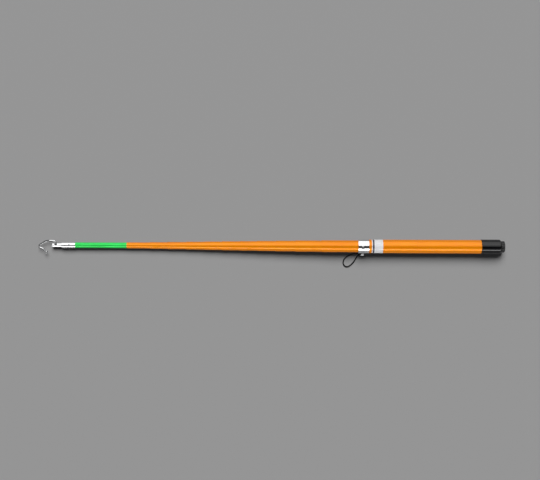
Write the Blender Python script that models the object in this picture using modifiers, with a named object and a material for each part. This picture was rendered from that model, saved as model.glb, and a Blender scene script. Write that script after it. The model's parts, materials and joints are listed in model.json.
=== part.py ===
"""Telescopic fiberglass cable catcher pole with a swivel hook, lying along the X axis.

The centre of the butt plug's flat end is the origin, and the pole runs towards -X. A place
along the pole is given as its distance from the butt, so a station s lies at x = -s. The
hook lies in the XY plane, and +Z points up from the surface on which the pole rests.
All lengths are in metres.
"""
import math

import bmesh
import bpy
from mathutils import Matrix, Vector

# Faces round a tube. The flat one at the bottom is what the pole rests on.
TUBE_SIDES = 32
SMALL_SIDES = 20

# Clearances
SEAT = 0.0002            # radial gap between pieces that are pressed or screwed together
FACE_GAP = 0.0003        # gap between end faces that meet
JAM = 0.000065           # radial gap that is left in a fully drawn telescopic joint

# Telescopic sections
SECTION_COUNT = 11
LARGEST_RADIUS = 0.0160  # outer radius at the mouth of section_01
SECTION_WALL = 0.00047
TAPER = 0.00024          # how much a section's radius grows from its mouth to its base
STACK_STEP = 0.004       # how far each mouth stands out of the next when all is closed
OVERLAP = 0.050          # length that stays inside when a section is fully drawn
RIM = 0.00018            # chamfer round the outside of a section's two ends
# How far each section stands out of the one before it: section_01 first, the tip last
DRAWN = (0.0985, 0.0702, 0.0527, 0.0513, 0.0459, 0.0486,
         0.0472, 0.0486, 0.0513, 0.0473, 0.0621, 0.1390)

# Outer tube and its collar
MOUTH_STATION = 0.3945   # front face of the collar
MOUTH_TUBE_WALL = 0.0019
BUTT_TUBE_WALL = 0.00215
TUBE_RIM = 0.0004
COLLAR_LENGTH = 0.029
COLLAR_WALL = 0.0010
COLLAR_LIP = 0.0018      # length of the inward lip that covers the tube's end face
COLLAR_BEAD = 0.0006     # rounding of the collar's two edges

# End cap, butt plug, seal and pad
PLUG_RADIUS = 0.0155
PLUG_HEAD = 0.0102
PLUG_GRIPS = 16          # scallops round the plug's head
GRIP_RADIUS = 0.0021
GRIP_DEPTH = 0.0007
SHANK_RADIUS = 0.0122
PLUG_EDGE = 0.0012
CAP_LENGTH = 0.0527
CAP_WALL = 0.0008
CAP_END = 0.0050         # thickness of the cap's end wall
CAP_ROUND = 0.0036
CAP_LIP = 0.0005         # rounding of the cap's front edge
PAD_THICKNESS = 0.0040
SEAL_RADIUS = 0.00085
SEAL_GROOVE_DEPTH = 0.0018

# Strap tab, rivet, ring, knot and cord
TAB_BACK = 0.0124        # from the collar's front face back to the middle of the strip
TAB_WIDTH = 0.0065
TAB_THICKNESS = 0.0012
TAB_TOP_ANGLE = -3.0     # degrees from the top of the collar towards the cord's side
TAB_EYE_ANGLE = 98.0
TAB_NARROW_ANGLE = 55.0  # where the strip starts to narrow towards its eye
EYE_WIDTH = 0.0050
EYE_TURN = 290.0
EYE_RADIUS = 0.0024      # centreline of the curled eye
RIVET_ANGLE = 9.0
RIVET_RADIUS = 0.0012
RIVET_HEAD = 0.0021
RIVET_HEAD_HEIGHT = 0.0010
RING_RADIUS = 0.0056
RING_WIRE = 0.0009
KNOT_SIZE = (0.0046, 0.0036, 0.0031)
KNOT_ANGLE = 50.0        # place of the knot on the ring, from the bottom towards the tip
KNOT_OFFSET = 0.0024
CORD_RADIUS = 0.0016

# Head
FERRULE_LENGTH = 0.0365
FERRULE_WALL = 0.0005
FERRULE_FRONT = 0.0030
FERRULE_ROUND = 0.0010
TIP_SOCKET = 0.0220      # how deep the tip section goes into the ferrule
NOSE_RADIUS = 0.0060
NOSE_LENGTH = 0.0233     # from the ferrule's front to the nose's front face
STEM_LENGTH = 0.0200     # part of the holder inside the tip section
NOSE_GROOVE = 0.0005     # depth of the two turned grooves on the nose
NOSE_GROOVE_PLACES = (0.22, 0.36)   # as shares of the nose's length, from the ferrule
NOSE_GROOVE_HALF = 0.0007
NOSE_GROOVE_FLOOR = 0.0003
NOSE_FLANGE = 0.0040     # thickness of the shoulder that the ferrule holds back
NOSE_EDGE = 0.0005
NOTCH_FLOOR = 0.0005     # bottom of the notch for the hook's root, from the pole's axis
NOTCH_GAP = 0.0008       # gap beside the root in its notch
PIVOT_BACK = 0.0071      # from the nose's front face back to the hook's root
CLAMP_HEAD = 0.0038
CLAMP_HEAD_RADIUS = 0.0058
CLAMP_SHANK_RADIUS = 0.0024
CLAMP_SLOT = 0.0012
CLAMP_SLOT_DEPTH = 0.0018
CLAMP_RIM = 0.35         # share of the head's height below its dome
CLAMP_EDGE = 0.0006
PIN_RADIUS = 0.0012
PIN_FROM_REAR = 0.0054
PIN_PROUD = 0.0003
PIN_FOOT = 0.0045        # height of the pin's foot above the pole's axis
SET_SCREW_RADIUS = 0.0022
SET_SCREW_FROM_REAR = 0.0162
SET_SCREW_SLOT = 0.0007
SET_SCREW_SLOT_DEPTH = 0.0008
SET_SCREW_FOOT = 0.0038

# Hook
HOOK_WIRE = 0.0031
HOOK_HOLE_GAP = 0.00015
HOOK_ROOT_END = 0.0053   # how far the root reaches past the pole's axis
HOOK_RISE = 0.0041       # height above the axis at which the root's bend starts
# The bends in turn, each with its degrees to the left, its radius and the straight after it
HOOK_BENDS = ((90.0, 0.0070, 0.0155), (32.0, 0.0140, 0.0159), (126.0, 0.0042, 0.0075),
              (-26.0, 0.0080, 0.0098))
BEND_STEP = 13.0         # degrees between the points on a bend, at most
BALL_RADIUS = 0.0052
BALL_SOCKET = 0.0030

CUTTER_LENGTH = 0.03     # longer than any cut in the head


def clear_scene():
    for thing in list(bpy.data.objects):
        bpy.data.objects.remove(thing, do_unlink=True)


def make_collection(name):
    group = bpy.data.collections.new(name)
    bpy.context.scene.collection.children.link(group)
    return group


clear_scene()
PARTS = make_collection("cable_catcher_pole")
CUTTERS = make_collection("cutters")


def material(name, colour, roughness, metallic=0.0):
    made = bpy.data.materials.new(name)
    made.use_nodes = True
    shader = made.node_tree.nodes["Principled BSDF"]
    shader.inputs["Base Color"].default_value = (*colour, 1.0)
    shader.inputs["Roughness"].default_value = roughness
    shader.inputs["Metallic"].default_value = metallic
    return made


ORANGE = material("orange_fiberglass", (0.94, 0.39, 0.03), 0.32)
GREEN = material("green_fiberglass", (0.02, 0.68, 0.11), 0.35)
CHROME = material("chrome", (0.80, 0.81, 0.83), 0.08, 1.0)
STEEL = material("blued_steel", (0.30, 0.31, 0.33), 0.35, 1.0)
BLACK = material("black_plastic", (0.013, 0.013, 0.016), 0.30)
RUBBER = material("rubber", (0.02, 0.02, 0.02), 0.75)
CORD = material("black_cord", (0.01, 0.01, 0.012), 0.80)


# Helpers

def add_object(name, data, finish, group=None, parent=None):
    made = bpy.data.objects.new(name, data)
    (group or PARTS).objects.link(made)
    made.parent = parent
    if finish:
        data.materials.append(finish)
    return made


def hide_cutter(cutter):
    cutter.hide_render = True
    cutter.display_type = "WIRE"


def shade_smooth(thing, degrees=35.0):
    thing.data.shade_smooth()
    thing.data.set_sharp_from_angle(angle=math.radians(degrees))


def arc(centre, radius, start, end, count):
    """Points on an arc in a plane, with its angles in degrees."""
    points = []
    for step in range(count + 1):
        angle = math.radians(start + (end - start) * step / count)
        points.append((centre[0] + radius * math.cos(angle), centre[1] + radius * math.sin(angle)))
    return points


def empty(name, place=(0.0, 0.0, 0.0), parent=None):
    made = bpy.data.objects.new(name, None)
    made.location = place
    made.empty_display_size = 0.02
    made.parent = parent
    PARTS.objects.link(made)
    return made


def turned(name, profile, finish, sides=TUBE_SIDES, group=None, parent=None):
    """A piece turned about the pole's axis from (radius, station) points, front to back."""
    half = math.pi / sides
    mesh = bpy.data.meshes.new(name)
    points = [(r * math.cos(half), r * math.sin(half), s) for r, s in profile]
    closed = profile[0][0] > 0.0
    count = len(points)
    edges = [(i, (i + 1) % count) for i in range(count if closed else count - 1)]
    mesh.from_pydata(points, edges, [])
    made = add_object(name, mesh, finish, group, parent)
    made.rotation_euler = (0.0, -math.pi / 2, 0.0)
    screw = made.modifiers.new("turn", "SCREW")
    screw.axis = "Z"
    screw.angle = 2 * math.pi
    screw.steps = sides
    screw.render_steps = sides
    screw.use_merge_vertices = True
    screw.merge_threshold = 1e-5
    screw.use_smooth_shade = True
    return made


def box_cutter(name, centre, size):
    mesh = bpy.data.meshes.new(name)
    form = bmesh.new()
    bmesh.ops.create_cube(form, size=1.0, matrix=Matrix.Diagonal((*size, 1.0)))
    form.to_mesh(mesh)
    form.free()
    cutter = add_object(name, mesh, None, CUTTERS)
    cutter.location = centre
    hide_cutter(cutter)
    return cutter


def rod_mesh(name, radius, length, sides=SMALL_SIDES, top_radius=None):
    """A round rod along its local Z, centred, with a flat facing local X."""
    mesh = bpy.data.meshes.new(name)
    form = bmesh.new()
    upper = radius if top_radius is None else top_radius
    bmesh.ops.create_cone(form, cap_ends=True, segments=sides, radius1=radius, radius2=upper,
                          depth=length, matrix=Matrix.Rotation(math.pi / sides, 4, "Z"))
    form.to_mesh(mesh)
    form.free()
    return mesh


def along(direction):
    """A turn that carries local Z to the given direction."""
    return Vector((0.0, 0.0, 1.0)).rotation_difference(Vector(direction)).to_matrix().to_4x4()


def rod_cutter(name, centre, direction, radius, length, sides=SMALL_SIDES):
    cutter = add_object(name, rod_mesh(name, radius, length, sides), None, CUTTERS)
    cutter.matrix_world = Matrix.Translation(centre) @ along(direction)
    hide_cutter(cutter)
    return cutter


def cut(thing, cutter):
    change = thing.modifiers.new("cut_" + cutter.name, "BOOLEAN")
    change.operation = "DIFFERENCE"
    change.object = cutter


def bent_bar(name, points, radius, finish, resolution=2, parent=None, offset=(0.0, 0.0, 0.0)):
    """A round bar that follows points given in the part's frame, as one capped tube."""
    path = bpy.data.curves.new(name, "CURVE")
    path.dimensions = "3D"
    spline = path.splines.new("POLY")
    spline.points.add(len(points) - 1)
    for point, place in zip(spline.points, points):
        point.co = (*(Vector(place) - Vector(offset)), 1.0)
    path.bevel_depth = radius
    path.bevel_resolution = resolution
    path.use_fill_caps = True
    return add_object(name, path, finish, None, parent)


# Sizes that follow from the values above

def section_name(index):
    return f"section_{index:02d}" if index <= SECTION_COUNT else "tip_section"


def mouth_radius(index):
    """Outer radius at a section's mouth; section 0 stands for the outer tube's bore."""
    step = SECTION_WALL + TAPER + JAM
    return LARGEST_RADIUS - (index - 1) * step


def mouth_station(index):
    """Where a section's mouth lies, as the pole is drawn out here."""
    return MOUTH_STATION + sum(DRAWN[:index])


CAP_REAR = PLUG_HEAD + FACE_GAP
CAP_FRONT = CAP_REAR + CAP_LENGTH
CAP_WALL_FRONT = CAP_REAR + CAP_END
TUBE_REAR = CAP_WALL_FRONT + FACE_GAP
PAD_FRONT = TUBE_REAR + PAD_THICKNESS
TUBE_FRONT = MOUTH_STATION - COLLAR_LIP - FACE_GAP
TUBE_LENGTH = TUBE_FRONT - TUBE_REAR
MOUTH_BORE = LARGEST_RADIUS + TAPER + JAM
BUTT_BORE = MOUTH_BORE + TAPER
MOUTH_TUBE_RADIUS = MOUTH_BORE + MOUTH_TUBE_WALL
BUTT_TUBE_RADIUS = BUTT_BORE + BUTT_TUBE_WALL
COLLAR_REAR = MOUTH_STATION - COLLAR_LENGTH
TAB_STATION = MOUTH_STATION - TAB_BACK


def tube_radius(station):
    """Outer radius of the outer tube at a station."""
    share = (TUBE_FRONT - station) / TUBE_LENGTH
    return MOUTH_TUBE_RADIUS + (BUTT_TUBE_RADIUS - MOUTH_TUBE_RADIUS) * share


COLLAR_BORE = tube_radius(COLLAR_REAR) + SEAT
COLLAR_RADIUS = COLLAR_BORE + COLLAR_WALL
CAP_BORE = tube_radius(TUBE_REAR) + SEAT
CAP_RADIUS = CAP_BORE + CAP_WALL
TIP_FRONT = mouth_station(SECTION_COUNT + 1) + TIP_SOCKET
FERRULE_REAR = mouth_station(SECTION_COUNT + 1)
FERRULE_END = FERRULE_REAR + FERRULE_LENGTH
NOSE_FRONT = FERRULE_END + NOSE_LENGTH
PIVOT_STATION = NOSE_FRONT - PIVOT_BACK
GROUND = -CAP_RADIUS * math.cos(math.pi / TUBE_SIDES)


def section_length(index):
    """From mouth to base: closed up, every section lands on the pad with its mouth in its step."""
    return MOUTH_STATION + index * STACK_STEP - PAD_FRONT - FACE_GAP


def slide_range(index):
    """How far a section slides in and out from where it stands here."""
    drawn = DRAWN[index - 1]
    return STACK_STEP - drawn, section_length(index) - OVERLAP - drawn


# Pieces of the outer tube

def tube_profile(front, rear, radius_front, radius_rear, bore_front, bore_rear, rim):
    return [(bore_front, front), (radius_front - rim, front), (radius_front, front - rim),
            (radius_rear, rear + rim), (radius_rear - rim, rear), (bore_rear, rear)]


def outer_tube():
    profile = tube_profile(TUBE_FRONT, TUBE_REAR, MOUTH_TUBE_RADIUS, BUTT_TUBE_RADIUS,
                           MOUTH_BORE, BUTT_BORE, TUBE_RIM)
    return turned("outer_tube", profile, ORANGE)


def mouth_collar():
    lip_bore = MOUTH_BORE + SEAT
    bead = COLLAR_BEAD
    front = arc((COLLAR_RADIUS - bead, MOUTH_STATION - bead), bead, 90, 0, 3)
    rear = arc((COLLAR_RADIUS - bead, COLLAR_REAR + bead), bead, 0, -60, 2)
    profile = [(lip_bore, MOUTH_STATION)] + front + rear
    profile += [(COLLAR_BORE, COLLAR_REAR), (COLLAR_BORE, MOUTH_STATION - COLLAR_LIP),
                (lip_bore, MOUTH_STATION - COLLAR_LIP)]
    made = turned("mouth_collar", profile, CHROME)
    place, direction = around_collar(RIVET_ANGLE, COLLAR_RADIUS)
    cut(made, rod_cutter("rivet_hole_in_collar", place, direction, RIVET_RADIUS + SEAT, 0.006, 12))
    return made


def end_cap():
    front = arc((CAP_RADIUS - CAP_LIP, CAP_FRONT - CAP_LIP), CAP_LIP, 90, 0, 2)
    rear = arc((CAP_RADIUS - CAP_ROUND, CAP_REAR + CAP_ROUND), CAP_ROUND, 0, -90, 5)
    hole = SHANK_RADIUS + FACE_GAP
    mouth_bore = tube_radius(CAP_FRONT) + SEAT
    profile = [(mouth_bore, CAP_FRONT)] + front + rear
    profile += [(hole, CAP_REAR), (hole, CAP_WALL_FRONT), (CAP_BORE, CAP_WALL_FRONT)]
    return turned("end_cap", profile, BLACK)


def butt_pad():
    hole = SHANK_RADIUS + FACE_GAP
    rear_bore = BUTT_BORE - SEAT
    edge = TUBE_RIM
    profile = [(hole, PAD_FRONT), (rear_bore - edge, PAD_FRONT), (rear_bore, PAD_FRONT - edge),
               (rear_bore, TUBE_REAR), (hole, TUBE_REAR)]
    return turned("butt_pad", profile, RUBBER)


# Butt plug and its seal

def seal_station():
    return CAP_REAR + CAP_END / 2


def butt_plug():
    edge = PLUG_EDGE
    head = arc((PLUG_RADIUS - edge, edge), edge, 0, -90, 3)
    groove_half = SEAL_RADIUS + SEAT
    groove = SHANK_RADIUS - SEAL_GROOVE_DEPTH
    front = seal_station() + groove_half
    rear = seal_station() - groove_half
    profile = [(0.0, PAD_FRONT), (SHANK_RADIUS - SEAT, PAD_FRONT), (SHANK_RADIUS, PAD_FRONT - SEAT),
               (SHANK_RADIUS, front), (groove, front), (groove, rear), (SHANK_RADIUS, rear),
               (SHANK_RADIUS, PLUG_HEAD), (PLUG_RADIUS - edge / 2, PLUG_HEAD),
               (PLUG_RADIUS, PLUG_HEAD - edge / 2)] + head + [(0.0, 0.0)]
    made = turned("butt_plug", profile, BLACK)
    for grip in range(PLUG_GRIPS):
        angle = 2 * math.pi * (grip + 0.5) / PLUG_GRIPS
        out = PLUG_RADIUS + GRIP_RADIUS - GRIP_DEPTH
        place = (-PLUG_HEAD / 2, out * math.sin(angle), out * math.cos(angle))
        cut(made, rod_cutter(f"grip_{grip:02d}", place, (1, 0, 0), GRIP_RADIUS, 2 * PLUG_HEAD, 10))
    return made


def plug_seal():
    centre = SHANK_RADIUS - SEAL_GROOVE_DEPTH + SEAT + SEAL_RADIUS
    ring = arc((centre, seal_station()), SEAL_RADIUS, 180, -180, 8)[:-1]
    return turned("plug_seal", ring, RUBBER)


# Telescopic sections

def section(index, parent):
    front = TIP_FRONT if index > SECTION_COUNT else mouth_station(index)
    radius = mouth_radius(index)
    finish = GREEN if index > SECTION_COUNT else ORANGE
    base = mouth_station(index) - section_length(index)
    profile = tube_profile(front, base, radius, radius + TAPER,
                           radius - SECTION_WALL, radius - SECTION_WALL + TAPER, RIM)
    return turned(section_name(index), profile, finish, parent=parent)


# Strap tab, its rivet, ring, knot and cord

def around_collar(degrees, radius):
    """A place on the tab's station, by its angle from the top towards -Y, and its normal."""
    angle = math.radians(degrees)
    direction = Vector((0.0, -math.sin(angle), math.cos(angle)))
    return direction * radius + Vector((-TAB_STATION, 0.0, 0.0)), direction


TAB_RADIUS = COLLAR_RADIUS + FACE_GAP + TAB_THICKNESS / 2
EYE_CENTRE = around_collar(TAB_EYE_ANGLE, TAB_RADIUS + EYE_RADIUS)[0]


def tab_line():
    """The strip's centreline in the YZ plane, with its width: round the collar, then the eye."""
    points = []
    for step in range(19):
        angle = TAB_TOP_ANGLE + (TAB_EYE_ANGLE - TAB_TOP_ANGLE) * step / 18
        share = max(0.0, (angle - TAB_NARROW_ANGLE) / (TAB_EYE_ANGLE - TAB_NARROW_ANGLE))
        place, _ = around_collar(angle, TAB_RADIUS)
        points.append((place.y, place.z, TAB_WIDTH + (EYE_WIDTH - TAB_WIDTH) * share))
    inward, _ = around_collar(TAB_EYE_ANGLE, TAB_RADIUS)
    first = math.degrees(math.atan2(inward.z - EYE_CENTRE.z, inward.y - EYE_CENTRE.y))
    curl = arc((EYE_CENTRE.y, EYE_CENTRE.z), EYE_RADIUS, first, first - EYE_TURN, 14)[1:]
    return points + [(y, z, EYE_WIDTH) for y, z in curl]


def strap_tab():
    line = tab_line()
    mesh = bpy.data.meshes.new("strap_tab")
    points = []
    for y, z, width in line:
        points.append((-TAB_STATION - width / 2, y, z))
        points.append((-TAB_STATION + width / 2, y, z))
    faces = [(2 * i, 2 * i + 1, 2 * i + 3, 2 * i + 2) for i in range(len(line) - 1)]
    mesh.from_pydata(points, [], faces)
    made = add_object("strap_tab", mesh, CHROME)
    wall = made.modifiers.new("thickness", "SOLIDIFY")
    wall.thickness = TAB_THICKNESS
    wall.offset = 0.0
    wall.use_even_offset = True
    place, direction = around_collar(RIVET_ANGLE, TAB_RADIUS)
    cut(made, rod_cutter("rivet_hole_in_tab", place, direction, RIVET_RADIUS + SEAT, 0.004, 12))
    return made


def tab_rivet():
    """A domed rivet through the tab and the collar's wall."""
    seat = TAB_RADIUS + TAB_THICKNESS / 2 + FACE_GAP
    foot = COLLAR_BORE + SEAT
    mesh = bpy.data.meshes.new("tab_rivet")
    dome = [(0.0, RIVET_HEAD_HEIGHT), (RIVET_HEAD * 0.55, RIVET_HEAD_HEIGHT * 0.86),
            (RIVET_HEAD * 0.9, RIVET_HEAD_HEIGHT * 0.45), (RIVET_HEAD, 0.0),
            (RIVET_RADIUS, 0.0), (RIVET_RADIUS, foot - seat), (0.0, foot - seat)]
    mesh.from_pydata([(r, 0.0, h) for r, h in dome], [(i, i + 1) for i in range(len(dome) - 1)], [])
    made = add_object("tab_rivet", mesh, CHROME)
    screw = made.modifiers.new("turn", "SCREW")
    screw.angle = 2 * math.pi
    screw.steps = 12
    screw.render_steps = 12
    screw.use_merge_vertices = True
    screw.merge_threshold = 1e-5
    place, direction = around_collar(RIVET_ANGLE, seat)
    made.matrix_world = Matrix.Translation(place) @ along(direction)
    return made


def ring_torus(name, wire, finish, group=None, parent=None):
    """A wire ring that hangs from the tab's eye, in the plane of X and Z."""
    mesh = bpy.data.meshes.new(name)
    points = arc((RING_RADIUS, 0.0), wire, 180, -180, 8)[:-1]
    mesh.from_pydata([(r, 0.0, h) for r, h in points], [(i, (i + 1) % 8) for i in range(8)], [])
    made = add_object(name, mesh, finish, group, parent)
    screw = made.modifiers.new("turn", "SCREW")
    screw.angle = 2 * math.pi
    screw.steps = 28
    screw.render_steps = 28
    screw.use_merge_vertices = True
    screw.merge_threshold = 1e-5
    made.rotation_euler = (math.pi / 2, 0.0, 0.0)
    made.location = (0.0, 0.0, -RING_RADIUS)
    return made


def knot_axis():
    """Direction from the ring's centre through the knot."""
    angle = math.radians(KNOT_ANGLE)
    return Vector((-math.sin(angle), 0.0, -math.cos(angle)))


def knot_centre():
    ring_centre = Vector(EYE_CENTRE) + Vector((0.0, 0.0, -RING_RADIUS))
    return ring_centre + knot_axis() * (RING_RADIUS + KNOT_OFFSET)


def cord_knot(parent):
    mesh = bpy.data.meshes.new("cord_knot")
    form = bmesh.new()
    bmesh.ops.create_uvsphere(form, u_segments=16, v_segments=10, radius=1.0)
    shape = along(knot_axis()) @ Matrix.Diagonal((KNOT_SIZE[1], KNOT_SIZE[2], KNOT_SIZE[0], 1.0))
    bmesh.ops.transform(form, matrix=shape, verts=form.verts)
    form.to_mesh(mesh)
    form.free()
    made = add_object("cord_knot", mesh, CORD, None, parent)
    shade_smooth(made)
    made.location = knot_centre() - Vector(EYE_CENTRE)
    hole = ring_torus("ring_hole_in_knot", RING_WIRE + FACE_GAP, None, CUTTERS, parent)
    hide_cutter(hole)
    cut(made, hole)
    return made


def cord_points():
    """The loop's route from the knot, round on the ground, and back to the knot.

    Each point says how far it lies ahead of the tab, beside the axis and above the ground.
    """
    low = GROUND + CORD_RADIUS + FACE_GAP
    route = [(0.0101, -0.0206, 0.0012), (0.0139, -0.0200, 0.0003), (0.0209, -0.0203, 0.0),
             (0.0325, -0.0232, 0.0), (0.0404, -0.0275, 0.0), (0.0469, -0.0337, 0.0),
             (0.0507, -0.0415, 0.0), (0.0500, -0.0489, 0.0), (0.0459, -0.0541, 0.0),
             (0.0393, -0.0554, 0.0), (0.0327, -0.0524, 0.0), (0.0257, -0.0460, 0.0),
             (0.0194, -0.0375, 0.0), (0.0154, -0.0308, 0.0002), (0.0126, -0.0268, 0.0006),
             (0.0098, -0.0245, 0.0012)]
    return [(-TAB_STATION - ahead, side, low + rise) for ahead, side, rise in route]


def smooth_path(points, spacing):
    """Even points on a smooth curve through the given ones."""
    fine = []
    spots = [Vector(point) for point in points]
    ends = [2 * spots[0] - spots[1]] + spots + [2 * spots[-1] - spots[-2]]
    for i in range(1, len(ends) - 2):
        a, b, c, d = ends[i - 1:i + 3]
        for step in range(16):
            t = step / 16
            fine.append(0.5 * (2 * b + (c - a) * t + (2 * a - 5 * b + 4 * c - d) * t * t
                               + (3 * b - a - 3 * c + d) * t ** 3))
    fine.append(spots[-1])
    total = sum((q - p).length for p, q in zip(fine, fine[1:]))
    count = round(total / spacing)
    even = [fine[0]]
    walked = 0.0
    for p, q in zip(fine, fine[1:]):
        step = (q - p).length
        while len(even) < count and walked + step >= len(even) * total / count:
            even.append(p.lerp(q, (len(even) * total / count - walked) / step))
        walked += step
    even.append(fine[-1])
    return even


def strap_cord(parent):
    path = smooth_path(cord_points(), 2.2 * 2 * CORD_RADIUS)
    return bent_bar("strap_cord", path, CORD_RADIUS, CORD, 2, parent, EYE_CENTRE)


# Head: ferrule, holder, its screws and the hook

def top_hole(name, thing, station, radius, depth_from):
    """A hole that comes in from the top of the head."""
    place = (-station, 0.0, depth_from + CUTTER_LENGTH / 2)
    cut(thing, rod_cutter(name, place, (0, 0, 1), radius, CUTTER_LENGTH, 16))


PIN_STATION = FERRULE_REAR + PIN_FROM_REAR
SET_SCREW_STATION = FERRULE_REAR + SET_SCREW_FROM_REAR
FERRULE_BORE = mouth_radius(SECTION_COUNT + 1) + SEAT
FERRULE_RADIUS = FERRULE_BORE + FERRULE_WALL
TIP_BORE = mouth_radius(SECTION_COUNT + 1) - SECTION_WALL
STEM_RADIUS = TIP_BORE - SEAT


def drill_for_head_screws(thing, word):
    """The pin and the set screw pass through the ferrule, the tip section and the stem."""
    top_hole(f"pin_hole_{word}", thing, PIN_STATION, PIN_RADIUS + SEAT, PIN_FOOT - FACE_GAP)
    top_hole(f"set_screw_hole_{word}", thing, SET_SCREW_STATION, SET_SCREW_RADIUS + SEAT,
             SET_SCREW_FOOT - FACE_GAP)


def tip_ferrule(parent):
    curve = arc((FERRULE_RADIUS - FERRULE_ROUND, FERRULE_END - FERRULE_ROUND), FERRULE_ROUND,
                90, 0, 4)
    hole = NOSE_RADIUS + SEAT
    inside = FERRULE_END - FERRULE_FRONT
    profile = [(hole, FERRULE_END)] + curve + [(FERRULE_RADIUS, FERRULE_REAR + FERRULE_WALL / 2),
               (FERRULE_RADIUS - FERRULE_WALL / 2, FERRULE_REAR), (FERRULE_BORE, FERRULE_REAR),
               (FERRULE_BORE, inside), (hole, inside)]
    made = turned("tip_ferrule", profile, CHROME, parent=parent)
    drill_for_head_screws(made, "in_ferrule")
    return made


def hook_holder(parent):
    """The nose, turned in one piece with the stem that fills the tip section's end."""
    shoulder = TIP_FRONT + FACE_GAP
    flange = shoulder + NOSE_FLANGE
    floor = NOSE_RADIUS - NOSE_GROOVE
    grooves = []
    for share in NOSE_GROOVE_PLACES:
        s = FERRULE_END + NOSE_LENGTH * share
        grooves = [(NOSE_RADIUS, s + NOSE_GROOVE_HALF), (floor, s + NOSE_GROOVE_FLOOR),
                   (floor, s - NOSE_GROOVE_FLOOR), (NOSE_RADIUS, s - NOSE_GROOVE_HALF)] + grooves
    edge = NOSE_EDGE
    profile = [(0.0, NOSE_FRONT), (NOSE_RADIUS - edge, NOSE_FRONT), (NOSE_RADIUS, NOSE_FRONT - edge)]
    profile += grooves + [(NOSE_RADIUS, flange), (STEM_RADIUS, flange),
                          (STEM_RADIUS, TIP_FRONT - STEM_LENGTH + edge),
                          (STEM_RADIUS - edge, TIP_FRONT - STEM_LENGTH),
                          (0.0, TIP_FRONT - STEM_LENGTH)]
    made = turned("hook_holder", profile, CHROME, parent=parent)
    drill_for_head_screws(made, "in_stem")
    half = HOOK_WIRE + NOTCH_GAP
    notch = (-PIVOT_STATION, NOTCH_FLOOR + CUTTER_LENGTH / 2, 0.0)
    cut(made, box_cutter("root_notch", notch, (2 * half, CUTTER_LENGTH, CUTTER_LENGTH)))
    pivot = (-PIVOT_STATION, 0.0, 0.0)
    cut(made, rod_cutter("root_hole", pivot, (0, 1, 0), HOOK_WIRE + HOOK_HOLE_GAP,
                         CUTTER_LENGTH, 24))
    clamp = (-PIVOT_STATION - CUTTER_LENGTH / 2, 0.0, 0.0)
    cut(made, rod_cutter("clamp_hole", clamp, (1, 0, 0), CLAMP_SHANK_RADIUS + FACE_GAP,
                         CUTTER_LENGTH, 16))
    return made


def ferrule_pin(parent):
    top = FERRULE_RADIUS + PIN_PROUD
    mesh = rod_mesh("ferrule_pin", PIN_RADIUS, top - PIN_FOOT, 12)
    made = add_object("ferrule_pin", mesh, STEEL, None, parent)
    shade_smooth(made)
    made.location = (-PIN_STATION, 0.0, (top + PIN_FOOT) / 2)
    return made


def ferrule_set_screw(parent):
    top = FERRULE_RADIUS
    mesh = rod_mesh("ferrule_set_screw", SET_SCREW_RADIUS, top - SET_SCREW_FOOT, 16)
    made = add_object("ferrule_set_screw", mesh, STEEL, None, parent)
    shade_smooth(made)
    made.location = (-SET_SCREW_STATION, 0.0, (top + SET_SCREW_FOOT) / 2)
    slot = (4 * SET_SCREW_RADIUS, SET_SCREW_SLOT, 2 * SET_SCREW_SLOT_DEPTH)
    cut(made, box_cutter("set_screw_slot", (-SET_SCREW_STATION, 0.0, top), slot))
    return made


def clamp_screw(parent):
    """The round-headed screw at the front, whose shank bears on the hook's root."""
    rear = NOSE_FRONT + FACE_GAP
    front = rear + CLAMP_HEAD
    foot = PIVOT_STATION + HOOK_WIRE + FACE_GAP
    rim = rear + CLAMP_HEAD * CLAMP_RIM
    dome = arc((0.0, rim), 1.0, 90, 0, 6)
    profile = [(r * CLAMP_HEAD_RADIUS, rim + (s - rim) * (front - rim)) for r, s in dome]
    profile[0] = (0.0, front)
    profile += [(CLAMP_HEAD_RADIUS, rear + CLAMP_EDGE), (CLAMP_HEAD_RADIUS - CLAMP_EDGE, rear),
                (CLAMP_SHANK_RADIUS, rear), (CLAMP_SHANK_RADIUS, foot), (0.0, foot)]
    made = turned("clamp_screw", profile, CHROME, SMALL_SIDES, parent=parent)
    slot = (2 * CLAMP_SLOT_DEPTH, CUTTER_LENGTH, CLAMP_SLOT)
    cut(made, box_cutter("clamp_slot", (-front, 0.0, 0.0), slot))
    return made


def hook_line():
    """Centreline of the hook from its root, then the ball's centre and the end's heading."""
    place = Vector((-PIVOT_STATION, HOOK_RISE))
    heading = Vector((0.0, 1.0))
    line = [(place.x, -HOOK_ROOT_END), tuple(place)]
    for degrees, radius, straight in HOOK_BENDS:
        side = math.copysign(radius, degrees)
        centre = place + Vector((-heading.y, heading.x)) * side
        count = math.ceil(abs(degrees) / BEND_STEP)
        arm = place - centre
        for step in range(1, count + 1):
            turn = Matrix.Rotation(math.radians(degrees * step / count), 2)
            line.append(tuple(centre + turn @ arm))
        heading = turn @ heading
        place = Vector(line[-1]) + heading * straight
        line.append(tuple(place))
    return line[:-1], place, heading


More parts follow.
